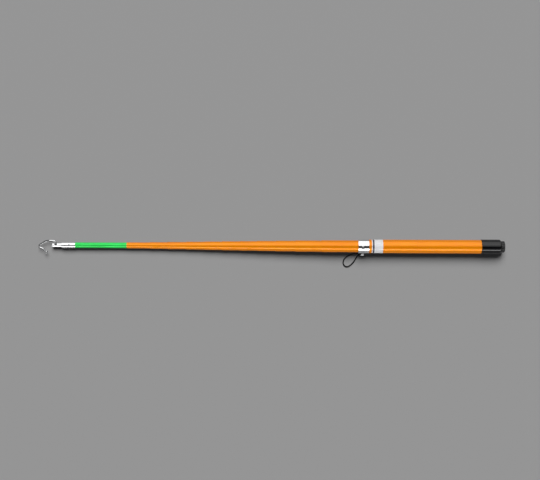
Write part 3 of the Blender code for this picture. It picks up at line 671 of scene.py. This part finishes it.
def front_edge(radius, height, edge, steps):
    """The rounded rim of a turned piece's front or top face, from the face to the side."""
    return arc((radius - edge, height - edge), edge, 90, 0, steps)


def rear_edge(radius, height, edge, steps, end=-90):
    """The rounded rim of a turned piece's rear face, from the side to an angle on the face."""
    return arc((radius - edge, height + edge), edge, 0, end, steps)


def held(outline, closed):
    """Adds a point near both ends of each long straight, so that its shading stays straight."""
    kept = []
    count = len(outline)
    for i, point in enumerate(outline):
        kept.append(point)
        if i == count - 1 and not closed:
            break
        here, there = Vector(point), Vector(outline[(i + 1) % count])
        if (there - here).length > 6 * STRAIGHT_HOLD:
            step = (there - here).normalized() * STRAIGHT_HOLD
            kept += [tuple(here + step), tuple(there - step)]
    return kept


def join_rings(form, rings):
    """Faces between each ring of corners and the next; a ring may be a single corner."""
    sides = max(len(ring) for ring in rings)
    for first, second in zip(rings, rings[1:]):
        for side in range(sides):
            after = (side + 1) % sides
            face = [first[side % len(first)], first[after % len(first)],
                    second[after % len(second)], second[side % len(second)]]
            form.faces.new(list(dict.fromkeys(face)))


def turned(name, outline, sides=FINE_SIDES, place=(0.0, 0.0, 0.0), direction=TO_HEAD, ripple=None):
    """A closed piece turned about a line from (radius, height) points.

    An outline that starts off the line is a closed ring, and any other has both ends on it.
    A ripple is a function of the radius, height and turn, and gives the radius there.
    """
    closed = outline[0][0] > 0.0
    outline = held(outline, closed)
    spin = Vector(UP).rotation_difference(Vector(direction)).to_matrix()
    form = bmesh.new()
    rings = []
    for radius, height in outline:
        if radius == 0.0:
            rings.append([form.verts.new(spin @ Vector((0.0, 0.0, height)) + Vector(place))])
            continue
        ring = []
        for side in range(sides):
            angle = math.tau * side / sides
            out = ripple(radius, height, angle) if ripple else radius
            local = Vector((out * math.cos(angle), out * math.sin(angle), height))
            ring.append(form.verts.new(spin @ local + Vector(place)))
        rings.append(ring)
    join_rings(form, rings + rings[:1] if closed else rings)
    return placed_mesh(name, form)


def swept(name, line, radii):
    """A closed bar along a line, with its own radius at each point; a radius of 0 is an end."""
    turns = [math.tau * k / SMALL_SIDES for k in range(SMALL_SIDES)]
    form = bmesh.new()
    rings = []
    heading = (line[1] - line[0]).normalized()
    side = heading.orthogonal().normalized()
    for i, (point, radius) in enumerate(zip(line, radii)):
        new_heading = (line[min(i + 1, len(line) - 1)] - line[max(i - 1, 0)]).normalized()
        side = heading.rotation_difference(new_heading) @ side
        heading = new_heading
        other = heading.cross(side)
        if radius == 0.0:
            rings.append([form.verts.new(point)])
            continue
        rings.append([form.verts.new(point + (side * math.cos(turn) + other * math.sin(turn)) * radius)
                      for turn in turns])
    join_rings(form, rings)
    return placed_mesh(name, form)


def cut_away(piece, cutter):
    """Takes a cutter's shape out of a piece and removes the cutter."""
    change = piece.modifiers.new("cut", "BOOLEAN")
    change.operation = "DIFFERENCE"
    change.object = cutter
    evaluated = piece.evaluated_get(bpy.context.evaluated_depsgraph_get())
    mesh = bpy.data.meshes.new_from_object(evaluated)
    piece.modifiers.clear()
    piece.data = mesh
    bpy.data.objects.remove(cutter, do_unlink=True)
    shade(mesh)


def drill(piece, place, direction, radius, depth):
    """Drills a round hole of a depth into a piece, from a place and along a direction."""
    outline = [(0.0, 0.0), (radius, 0.0), (radius, depth), (0.0, depth)]
    cut_away(piece, turned("drill", outline, SMALL_SIDES, place, direction))


def slit(piece, place, size):
    """Cuts a straight slot, a box of a size round a place."""
    form = bmesh.new()
    shape = Matrix.Translation(place) @ Matrix.Diagonal((*size, 1.0))
    bmesh.ops.create_cube(form, size=1.0, matrix=shape)
    cut_away(piece, placed_mesh("slit", form))


# Measures of the model

def ends(name):
    """Stations of a node's front and rear end."""
    low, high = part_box(name)
    return -low[0], -high[0]


def rim(name, station, reach=0.0006):
    """Bore and outer radius of a turned node, from its corners within a reach of a station."""
    spots = [v.co for v in frame["nodes"][name].data.vertices if abs(v.co.x + station) < reach]
    radii = [math.hypot(spot.y, spot.z) * FLAT for spot in spots]
    return min(radii), max(radii)


def tube_radius(station):
    """Outer radius of the outer tube at a station."""
    front, rear = ends("outer_tube")
    share = (front - station) / (front - rear)
    return rim("outer_tube", front)[1] * (1 - share) + rim("outer_tube", rear)[1] * share


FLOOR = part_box("end_cap")[0][2]
TAB_STATION = -(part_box("strap_tab")[0][0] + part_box("strap_tab")[1][0]) / 2
COLLAR_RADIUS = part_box("mouth_collar")[1][2] / FLAT


def around_collar(degrees, radius):
    """A place on the tab's station, by its angle from the top towards -Y, and its normal."""
    angle = math.radians(degrees)
    direction = Vector((0.0, -math.sin(angle), math.cos(angle)))
    return direction * radius + Vector((-TAB_STATION, 0.0, 0.0)), direction


TAB_RADIUS = COLLAR_RADIUS + GAP + TAB_THICKNESS / 2
EYE_CENTRE = around_collar(TAB_EYE_ANGLE, TAB_RADIUS + EYE_RADIUS)[0]
RING_CENTRE = EYE_CENTRE + Vector((0.0, 0.0, -RING_RADIUS))


# Cord and knot

def cord_points():
    """The loop's route from the knot, round on the floor, and back to the knot.

    Each point says how far it lies ahead of the tab, beside the axis and above the height at
    which the cord rests on the floor.
    """
    low = FLOOR + CORD_RADIUS + GAP
    route = [(0.0101, -0.0206, 0.0012), (0.0139, -0.0200, 0.0003), (0.0209, -0.0203, 0.0),
             (0.0325, -0.0232, 0.0), (0.0404, -0.0275, 0.0), (0.0469, -0.0337, 0.0),
             (0.0507, -0.0415, 0.0), (0.0500, -0.0489, 0.0), (0.0459, -0.0541, 0.0),
             (0.0393, -0.0554, 0.0), (0.0327, -0.0524, 0.0), (0.0257, -0.0460, 0.0),
             (0.0194, -0.0375, 0.0), (0.0154, -0.0308, 0.0002), (0.0126, -0.0268, 0.0006),
             (0.0098, -0.0245, 0.0012)]
    return [Vector((-TAB_STATION - ahead, side, low + rise)) for ahead, side, rise in route]


def smooth_path(spots, spacing):
    """Even points on a smooth curve through the given ones."""
    fine = []
    ends_added = [2 * spots[0] - spots[1]] + spots + [2 * spots[-1] - spots[-2]]
    for i in range(1, len(ends_added) - 2):
        a, b, c, d = ends_added[i - 1:i + 3]
        for step in range(PATH_PARTS):
            t = step / PATH_PARTS
            fine.append(0.5 * (2 * b + (c - a) * t + (2 * a - 5 * b + 4 * c - d) * t * t
                               + (3 * b - a - 3 * c + d) * t ** 3))
    fine.append(spots[-1])
    total = sum((q - p).length for p, q in zip(fine, fine[1:]))
    count = round(total / spacing)
    even = [fine[0]]
    walked = 0.0
    for p, q in zip(fine, fine[1:]):
        step = (q - p).length
        while len(even) < count and walked + step >= len(even) * total / count:
            even.append(p.lerp(q, (len(even) * total / count - walked) / step))
        walked += step
    even.append(fine[-1])
    return even


def line_curve(name, points):
    curve = bpy.data.curves.new(name, "CURVE")
    curve.dimensions = "3D"
    spline = curve.splines.new("POLY")
    spline.points.add(len(points) - 1)
    for spot, place in zip(spline.points, points):
        spot.co = (*place, 1.0)
    return curve


BRAIDED_CORD = braided_cord_tree()
TAPERED_TUBE = tapered_tube_tree()


def braided(name, points, radius, strand, spacing):
    return grown(name, BRAIDED_CORD, {
        "Radius": radius, "Strand Radius": strand, "Pitch": BRAID_PITCH, "Strands": BRAID_STRANDS,
        "Point Spacing": spacing, "Finish": YARN}, line_curve(name + "_line", points))


def knot_points():
    """Turns of the cord, wound tight round its two ends below the ring."""
    axis = Vector((-math.sin(math.radians(KNOT_ANGLE)), 0.0, -math.cos(math.radians(KNOT_ANGLE))))
    across = Vector(ACROSS)
    other = axis.cross(across)
    start = RING_CENTRE + axis * (RING_RADIUS + RING_WIRE + GAP)
    points = [start + axis * along + other * out for along, out in KNOT_TAIL]
    for step in range(KNOT_STEPS + 1):
        angle = math.tau * KNOT_TURNS * step / KNOT_STEPS
        outward = across * math.cos(angle) + other * math.sin(angle)
        along = KNOT_FROM_RING + KNOT_LENGTH * step / KNOT_STEPS
        points.append(start + axis * along + outward * KNOT_RADIUS)
    return points


def make_cord():
    path = smooth_path(cord_points(), ROUTE_SPACING)
    cord = braided("cord_loop", path, CORD_RADIUS, CORD_STRAND, CORD_SPACING)
    settled(cord, YARN, "strap", "strap_cord")
    knot = braided("cord_knot_turns", knot_points(), KNOT_CORD_RADIUS, KNOT_STRAND, KNOT_SPACING)
    settled(knot, YARN, "strap", "cord_knot")


make_cord()


# Telescopic tubes

def make_tube(name, finish, body, edge):
    """A tube of the pole. The tip's has the head's holes through its front end."""
    front, rear = ends(name)
    mouth_bore, mouth_radius = rim(name, front)
    base_bore, base_radius = rim(name, rear)
    piece = grown(name + "_tube", TAPERED_TUBE, {
        "Mouth Radius": mouth_radius, "Mouth Bore": mouth_bore, "Base Radius": base_radius,
        "Base Bore": base_bore, "Length": front - rear, "Rim": edge, "Mouth X": -front,
        "Sides": FINE_SIDES, "Finish": finish})
    if name == "tip_section":
        drill_head_holes(piece)
    settled(piece, finish, body, name)


def drill_head_holes(piece):
    """Holes in a piece of the head for the pin and the set screw, from their feet upwards."""
    rear = ends("tip_ferrule")[1]
    for name, from_rear, radius in (("ferrule_pin", PIN_FROM_REAR, PIN_RADIUS),
                                    ("ferrule_set_screw", SET_SCREW_FROM_REAR, SET_SCREW_RADIUS)):
        foot = (-rear - from_rear, 0.0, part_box(name)[0][2] - GAP)
        drill(piece, foot, UP, radius + SEAT, HEAD_CUT / 2)


make_tube("outer_tube", ORANGE, "grip", TUBE_RIM)
for number in range(1, SECTION_COUNT + 1):
    make_tube(f"section_{number:02d}", ORANGE, f"section_{number:02d}", SECTION_RIM)
make_tube("tip_section", GREEN, "tip", SECTION_RIM)


# Pieces on the grip

def drill_for_rivet(piece, start, depth):
    """The rivet's hole through a piece, from a radius outwards."""
    place, direction = around_collar(RIVET_ANGLE, start)
    drill(piece, place, direction, RIVET_RADIUS + SEAT, depth)


def make_collar():
    front, rear = ends("mouth_collar")
    lip_bore = rim("mouth_collar", front)[0]
    bore, radius = rim("mouth_collar", rear, reach=0.0012)
    outline = [(lip_bore, front - SEAT), (lip_bore + SEAT, front)]
    outline += front_edge(radius, front, COLLAR_BEAD, 8)
    outline += rear_edge(radius, rear, COLLAR_BEAD, 6, end=-70)
    outline += [(bore, rear), (bore, front - COLLAR_LIP), (lip_bore, front - COLLAR_LIP)]
    collar = turned("collar", outline)
    drill_for_rivet(collar, COLLAR_RADIUS * COLLAR_HOLE_START, COLLAR_HOLE_DEPTH)
    settled(collar, CHROME, "grip", "mouth_collar")


def make_band():
    """A thin white film round the grip, with plain edges."""
    front, rear = tube_radius(BAND_FRONT) + BAND_GAP, tube_radius(BAND_REAR) + BAND_GAP
    edge = BAND_FILM / 3
    outline = [(front, BAND_FRONT), (front + BAND_FILM - edge, BAND_FRONT),
               (front + BAND_FILM, BAND_FRONT - edge), (rear + BAND_FILM, BAND_REAR + edge),
               (rear + BAND_FILM - edge, BAND_REAR), (rear, BAND_REAR)]
    settled(turned("grip_band", outline), FILM, "grip")


def make_cap():
    front, rear = ends("end_cap")
    bore, lip_radius = rim("end_cap", front, reach=0.0009)
    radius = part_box("end_cap")[1][2]
    hole = rim("butt_pad", ends("butt_pad")[0])[0]
    wall_front = rear + CAP_END
    seat = rim("end_cap", wall_front, reach=0.0002)[1]
    outline = [(bore + CAP_BORE_EDGE, front)] + front_edge(lip_radius, front, CAP_LIP, 6)
    outline += rear_edge(radius, rear, CAP_ROUND, 14)
    outline += [(hole + CAP_HOLE_EDGE, rear), (hole, rear + CAP_HOLE_EDGE), (hole, wall_front),
                (seat, wall_front), (bore, front - CAP_BORE_EDGE)]
    settled(turned("cap", outline), BLACK, "grip", "end_cap")


def seal_station():
    """Station of the seal, in the middle of the end cap's wall."""
    return ends("end_cap")[1] + CAP_END / 2


def make_plug():
    """The screw plug: scallops round its head and a rounded thread on its shank."""
    front, rear = ends("butt_plug")
    shank = rim("butt_plug", front, reach=0.0004)[1]
    head_front = rear + PLUG_HEAD
    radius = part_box("butt_plug")[1][1]
    seal = seal_station()
    groove_half = SEAL_RADIUS + SEAT
    groove = shank - SEAL_GROOVE_DEPTH
    front_round = PLUG_EDGE / 2

    def ripple(out, height, angle):
        if GRIP_FROM_FACE < height < head_front - GRIP_FROM_FACE and out > shank + SEAT:
            return out - GRIP_DEPTH * max(0.0, math.cos(PLUG_GRIPS * angle)) ** 1.5
        if head_front < height < front - THREAD_FROM_END / 2 and out > groove + SEAT:
            share = (height / THREAD_PITCH - angle / math.tau) % 1.0
            return out - THREAD_DEPTH * (0.5 + 0.5 * math.cos(math.tau * share))
        return out

    outline = [(0.0, front), (shank - SHANK_EDGE, front), (shank, front - SHANK_EDGE)]
    thread_front = front - THREAD_FROM_END
    thread = thread_front - (seal + groove_half)
    outline += [(shank, thread_front - thread * row / THREAD_ROWS) for row in range(THREAD_ROWS + 1)]
    outline += [(groove, seal + groove_half), (groove, seal - groove_half),
                (shank, seal - groove_half), (shank, head_front)]
    outline += front_edge(radius, head_front, front_round, 3)
    grips = head_front - front_round - PLUG_EDGE
    outline += [(radius, head_front - front_round - grips * row / GRIP_ROWS)
                for row in range(1, GRIP_ROWS)]
    outline += rear_edge(radius, 0.0, PLUG_EDGE, 8) + [(0.0, 0.0)]
    settled(turned("plug", outline, PLUG_SIDES, ripple=ripple), BLACK, "butt_plug", "butt_plug")


def make_seal():
    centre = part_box("plug_seal")[1][2] - SEAL_RADIUS
    ring = arc((centre, seal_station()), SEAL_RADIUS, 180, -180, 20)[:-1]
    settled(turned("seal_ring", ring), RUBBER, "plug_seal", "plug_seal")


def make_pad():
    front, rear = ends("butt_pad")
    bore = rim("butt_pad", rear, reach=0.0002)[0]
    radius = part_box("butt_pad")[1][2]
    outline = [(bore, front - PAD_EDGE)]
    outline += arc((bore + PAD_EDGE, front - PAD_EDGE), PAD_EDGE, 180, 90, 5)
    outline += front_edge(radius, front, PAD_EDGE, 5) + [(radius, rear), (bore, rear)]
    settled(turned("cushion_pad", outline), RUBBER, "grip", "butt_pad")


make_collar()
make_band()
make_cap()
make_plug()
make_seal()
make_pad()


# Strap tab, rivet and ring

def tab_line():
    """Places along the strip, its outward normals and its widths: round the collar, then the eye."""
    places = []
    for step in range(TAB_STEPS + 1):
        angle = TAB_TOP_ANGLE + (TAB_EYE_ANGLE - TAB_TOP_ANGLE) * step / TAB_STEPS
        share = max(0.0, (angle - TAB_NARROW_ANGLE) / (TAB_EYE_ANGLE - TAB_NARROW_ANGLE))
        place, normal = around_collar(angle, TAB_RADIUS)
        places.append((place, normal, TAB_WIDTH + (EYE_WIDTH - TAB_WIDTH) * share))
    inward = around_collar(TAB_EYE_ANGLE, TAB_RADIUS)[0] - EYE_CENTRE
    first = math.atan2(inward.z, inward.y)
    for step in range(1, EYE_STEPS + 1):
        angle = first - math.radians(EYE_TURN) * step / EYE_STEPS
        out = Vector((0.0, math.cos(angle), math.sin(angle)))
        places.append((EYE_CENTRE + out * EYE_RADIUS, -out, EYE_WIDTH))
    return places


def make_tab():
    """A bent strip with rounded edges and a round end under the rivet."""
    places = tab_line()
    half = TAB_THICKNESS / 2
    edge = TAB_THICKNESS * TAB_EDGE
    form = bmesh.new()
    rings = []
    walked = 0.0
    last = places[0][0]
    for place, normal, width in places:
        walked += (place - last).length
        last = place
        back = max(0.0, 1.0 - walked / (TAB_WIDTH / 2))
        wide = width / 2 * math.sqrt(max(TAB_BLUNT, 1.0 - back * back))
        ring = []
        corners_out = [(wide - edge, half - edge, 0), (edge - wide, half - edge, 90),
                       (edge - wide, edge - half, 180), (wide - edge, edge - half, 270)]
        for across, up, turn in corners_out:
            for point in arc((across, up), edge, turn, turn + 90, 4):
                ring.append(form.verts.new(place + Vector((point[0], 0.0, 0.0)) + normal * point[1]))
        rings.append(ring)
    join_rings(form, rings)
    form.faces.new(rings[0])
    form.faces.new(rings[-1])
    tab = placed_mesh("tab", form)
    drill_for_rivet(tab, TAB_RADIUS - TAB_HOLE_DEPTH / 2, TAB_HOLE_DEPTH)
    settled(tab, SATIN, "grip", "strap_tab")


def make_rivet():
    seat = TAB_RADIUS + TAB_THICKNESS / 2 + GAP
    foot = COLLAR_RADIUS - RIVET_DEPTH - seat
    outline = [(0.0, RIVET_HEAD_HEIGHT)] + front_edge(RIVET_HEAD, RIVET_HEAD_HEIGHT, RIVET_EDGE, 6)
    outline += [(RIVET_HEAD, 0.0), (RIVET_RADIUS, 0.0), (RIVET_RADIUS, foot), (0.0, foot)]
    place, direction = around_collar(RIVET_ANGLE, seat)
    settled(turned("rivet", outline, SMALL_SIDES, place, direction), SATIN, "grip", "tab_rivet")


def make_ring():
    wire = arc((RING_RADIUS, 0.0), RING_WIRE, 180, -180, 20)[:-1]
    ring = turned("split_ring", wire, ROUND_SIDES, RING_CENTRE, ACROSS)
    settled(ring, CHROME, "strap", "strap_ring")


make_tab()
make_rivet()
make_ring()


# Head

def make_ferrule():
    front, rear = ends("tip_ferrule")
    bore, radius = rim("tip_ferrule", rear, reach=0.0009)
    hole = rim("tip_ferrule", front, reach=0.0002)[0]
    outline = [(hole, front)] + front_edge(radius, front, FERRULE_ROUND, 10)
    outline += rear_edge(radius, rear, FERRULE_EDGE, 4)
    outline += [(bore, rear), (bore, front - FERRULE_FRONT), (hole, front - FERRULE_FRONT)]
    ferrule = turned("ferrule", outline)
    drill_head_holes(ferrule)
    settled(ferrule, CHROME, "tip", "tip_ferrule")


def make_holder():
    front, rear = ends("hook_holder")
    ferrule_front = ends("tip_ferrule")[0]
    tip_front = ends("tip_section")[0]
    radius = rim("hook_holder", front, reach=0.0009)[1]
    stem = rim("hook_holder", rear, reach=0.0009)[1]
    outline = [(0.0, front)] + front_edge(radius, front, NOSE_EDGE, 6)
    for share in NOSE_GROOVE_PLACES:
        middle = ferrule_front + (front - ferrule_front) * share
        outline += [(radius, middle + NOSE_GROOVE_HALF)]
        outline += arc((radius, middle), NOSE_GROOVE, 90, 270, 8)
        outline += [(radius, middle - NOSE_GROOVE_HALF)]
    flange = tip_front + GAP + NOSE_FLANGE
    outline += [(radius, flange), (stem, flange), (stem, rear + NOSE_EDGE), (stem - NOSE_EDGE, rear),
                (0.0, rear)]
    holder = turned("holder", outline)
    drill_head_holes(holder)
    pivot = hook_pivot()
    slit(holder, (pivot.x, NOTCH_FLOOR + HEAD_CUT / 2, 0.0),
         (2 * (HOOK_WIRE + NOTCH_GAP), HEAD_CUT, HEAD_CUT))
    drill(holder, (pivot.x, -HEAD_CUT / 2, 0.0), ACROSS, HOOK_WIRE + HOOK_HOLE_GAP, HEAD_CUT)
    ahead = 0.001
    drill(holder, (-front - ahead, 0.0, 0.0), TO_BUTT, CLAMP_SHANK_RADIUS + GAP,
          front + pivot.x + ahead)
    settled(holder, CHROME, "tip", "hook_holder")


def stud(name, stands_for, radius, edge):
    """A plain round pin that stands up in the head, and the middle of its top."""
    low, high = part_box(stands_for)
    height = high[2] - low[2]
    middle = (low[0] + high[0]) / 2
    outline = [(0.0, height)] + front_edge(radius, height, edge, 4) + [(radius, 0.0), (0.0, 0.0)]
    made = turned(name, outline, SMALL_SIDES, (middle, 0.0, low[2]), UP)
    return made, (middle, 0.0, high[2])


def make_pin():
    pin = stud("pin", "ferrule_pin", PIN_RADIUS, PIN_EDGE)[0]
    settled(pin, STEEL, "tip", "ferrule_pin")


def make_set_screw():
    screw, top = stud("set_screw", "ferrule_set_screw", SET_SCREW_RADIUS, SET_SCREW_EDGE)
    length, width, depth = SET_SCREW_SLOT
    slit(screw, top, (length, width, 2 * depth))
    settled(screw, STEEL, "tip", "ferrule_set_screw")


def make_clamp_screw():
    front, rear = ends("clamp_screw")
    nose = ends("hook_holder")[0] + GAP
    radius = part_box("clamp_screw")[1][1]
    dome = nose + (front - nose) * CLAMP_DOME
    outline = [(0.0, front)]
    outline += [(radius * math.sin(math.radians(a)), dome + (front - dome) * math.cos(math.radians(a)))
                for a in range(DOME_STEP, 91, DOME_STEP)]
    outline += rear_edge(radius, nose, CLAMP_EDGE, 5)
    outline += [(CLAMP_SHANK_RADIUS, nose), (CLAMP_SHANK_RADIUS, rear), (0.0, rear)]
    screw = turned("clamp", outline, ROUND_SIDES)
    length, width, depth = CLAMP_SLOT
    slit(screw, (-front, 0.0, 0.0), (2 * depth, length, width))
    settled(screw, CHROME, "clamp_screw", "clamp_screw")


def hook_pivot():
    spot = next(joint for joint in frame["joints"] if joint["name"] == "hook_swing")["pos_m"]
    return Vector(spot)


def hook_line():
    """Centreline of the hook from its root, then the ball's centre and the end's heading."""
    root = hook_pivot()
    steps = [0.0, *(step for step, _ in ROOT_ROUND)]
    line = [Vector((root.x, -HOOK_ROOT_END + step, 0.0)) for step in steps]
    line.append(Vector((root.x, HOOK_RISE, 0.0)))
    heading = Vector(ACROSS)
    for degrees, radius, straight in HOOK_BENDS:
        start = line[-1]
        arm = Vector((heading.y, -heading.x, 0.0)) * math.copysign(radius, degrees)
        count = math.ceil(abs(degrees) / BEND_STEP)
        for step in range(1, count + 1):
            turn = Matrix.Rotation(math.radians(degrees * step / count), 3, "Z")
            line.append(start - arm + turn @ arm)
        heading = turn @ heading
        line.append(line[-1] + heading * straight)
    return line[:-1], line[-1], heading


def make_hook():
    line, ball, run = hook_line()
    line.append(ball - run * (BALL_RADIUS - BALL_SOCKET))
    line.append(line[-1] + run * BAR_CLOSING)
    radii = [HOOK_WIRE] * len(line)
    radii[:len(ROOT_ROUND) + 1] = [0.0, *(HOOK_WIRE - slimmer for _, slimmer in ROOT_ROUND)]
    radii[-1] = 0.0
    return settled(swept("hook_bar", line, radii), CHROME, "hook", "hook")


def make_ball():
    ball, run = hook_line()[1:]
    outline = [(0.0, BALL_RADIUS)]
    outline += [(BALL_RADIUS * math.sin(math.radians(a)), BALL_RADIUS * math.cos(math.radians(a)))
                for a in range(BALL_STEP, 180, BALL_STEP)]
    outline += [(0.0, -BALL_RADIUS)]
    piece = turned("ball_end", outline, SMALL_SIDES, ball, run)
    depth = BALL_RADIUS - BALL_SOCKET - GAP
    drill(piece, ball - run * depth, -run, HOOK_WIRE + BALL_HOLE_GAP, HEAD_CUT / 2)
    return settled(piece, CHROME, "hook", "hook_ball")


make_ferrule()
make_holder()
make_pin()
make_set_screw()
make_clamp_screw()
HOOK_PIECES = make_hook(), make_ball()


# Studio

def lit_group(name, state, pieces):
    """A group for light linking, whose pieces a light reaches or leaves out."""
    group = bpy.data.collections.new(name)
    for number, piece in enumerate(pieces):
        group.objects.link(piece)
        group.collection_objects[number].light_linking.link_state = state
    return group


def soft_light(label, angle, spread, brightness, length, group, heading=0.0):
    """A long soft light beside the pole for one group; a heading of 90 puts it towards -X.

    A wider light stands a little further off, so that no two lie in one plane.
    """
    distance = LIGHT_DISTANCE + LIGHT_STAGGER * spread
    width = 2 * distance * math.tan(math.radians(spread) / 2)
    lamp = bpy.data.lights.new(f"{label}_light_{group.name}", "AREA")
    lamp.shape = "RECTANGLE"
    lamp.size = length
    lamp.size_y = width
    lamp.energy = brightness * math.pi * length * width
    made = added(lamp.name, lamp)
    turn = Matrix.Rotation(math.radians(heading), 4, "Z") @ Matrix.Rotation(-math.radians(angle), 4, "X")
    over_pole = Matrix.Translation((CAMERA_PLACE[0], 0.0, 0.0))
    made.matrix_world = over_pole @ turn @ Matrix.Translation((0.0, 0.0, distance))
    made.visible_camera = False
    made.light_linking.receiver_collection = group


def even_light(label, brightness, group):
    """A soft light from far off, which is the same all over the floor."""
    lamp = bpy.data.lights.new(label + "_light", "SUN")
    lamp.angle = math.radians(FLOOR_LIGHT_SPREAD)
    lamp.energy = brightness
    made = added(lamp.name, lamp)
    made.rotation_euler = (-math.radians(FLOOR_LIGHT_ANGLE), 0.0, 0.0)
    made.light_linking.receiver_collection = group
    return made


def make_studio(floor, hook_pieces, chrome_pieces):
    """Lights for the floor, the hook and the other pieces, each reaching only what it is for.

    One of the floor's lights passes the hook, because so thin a piece throws a pale shadow.
    """
    ground = lit_group("floor", "INCLUDE", [floor])
    hook = lit_group("hook", "INCLUDE", hook_pieces)
    pole = lit_group("pole", "EXCLUDE", [floor, *hook_pieces])
    lamps = [even_light(*light, ground) for light in FLOOR_LIGHTS]
    lamps[-1].light_linking.blocker_collection = lit_group("past_hook", "EXCLUDE", hook_pieces)
    for light in POLE_LIGHTS:
        soft_light(*light, LONG_LIGHT, pole)
    soft_light(*CHROME_LIGHT, LONG_LIGHT, lit_group("chrome", "INCLUDE", chrome_pieces))
    for light in HOOK_LIGHTS:
        soft_light(*light, SHORT_LIGHT, hook)
    for label, heading in HOOK_END_HEADINGS:
        soft_light(label, *HOOK_END_LIGHT, SHORT_LIGHT, hook, heading)


def make_world():
    """A dim room, darkest overhead and on the -Y side, behind which the camera sees plain grey."""
    world = bpy.data.worlds.new("studio")
    bpy.context.scene.world = world
    world.use_nodes = True
    tree = world.node_tree
    sky = tree.nodes["Background"]
    spot = split(tree, node(tree, "ShaderNodeTexCoord").outputs["Generated"])
    overhead = blended(tree, fit(tree, spot["Z"], 0.05, 0.5), ROOM_LEVEL, ROOM_OVERHEAD)
    room = blended(tree, fit(tree, spot["Y"], -0.4, -0.9), overhead, ROOM_DARK_SIDE)
    seen = node(tree, "ShaderNodeLightPath").outputs["Is Camera Ray"]
    tree.links.new(blended(tree, seen, room, PAST_FLOOR), sky.inputs[0])


def make_floor():
    """A floor that is level under the grip and comes up a little, to just below the head."""
    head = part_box("tip_ferrule")[0][2] - FLOOR_BELOW_HEAD
    lines = ((FLOOR_REACH, FLOOR), (-FLOOR_RISE[0], FLOOR), (-FLOOR_RISE[1], head),
             (-FLOOR_REACH, head))
    spots = [(x, side, z) for x, z in lines for side in (-FLOOR_REACH, FLOOR_REACH)]
    faces = [(first, first + 1, first + 3, first + 2) for first in range(0, len(spots) - 2, 2)]
    mesh = bpy.data.meshes.new("studio_floor")
    mesh.from_pydata(spots, [], faces)
    mesh.shade_smooth()
    made = added("studio_floor", mesh)
    pale, _, shader, _ = material("pale_floor", Roughness=0.75, Specular_IOR_Level=0.2)
    shader["Base Color"].default_value = (*FLOOR_GREY, 1.0)
    mesh.materials.append(pale)
    return made


def chromed_pieces():
    """The polished pieces, apart from the hook's."""
    return [piece for piece in bpy.data.objects if piece.type == "MESH"
            and CHROME.name in piece.data.materials and piece not in HOOK_PIECES]


make_world()
make_studio(make_floor(), HOOK_PIECES, chromed_pieces())
bpy.context.scene.view_settings.view_transform = "Standard"
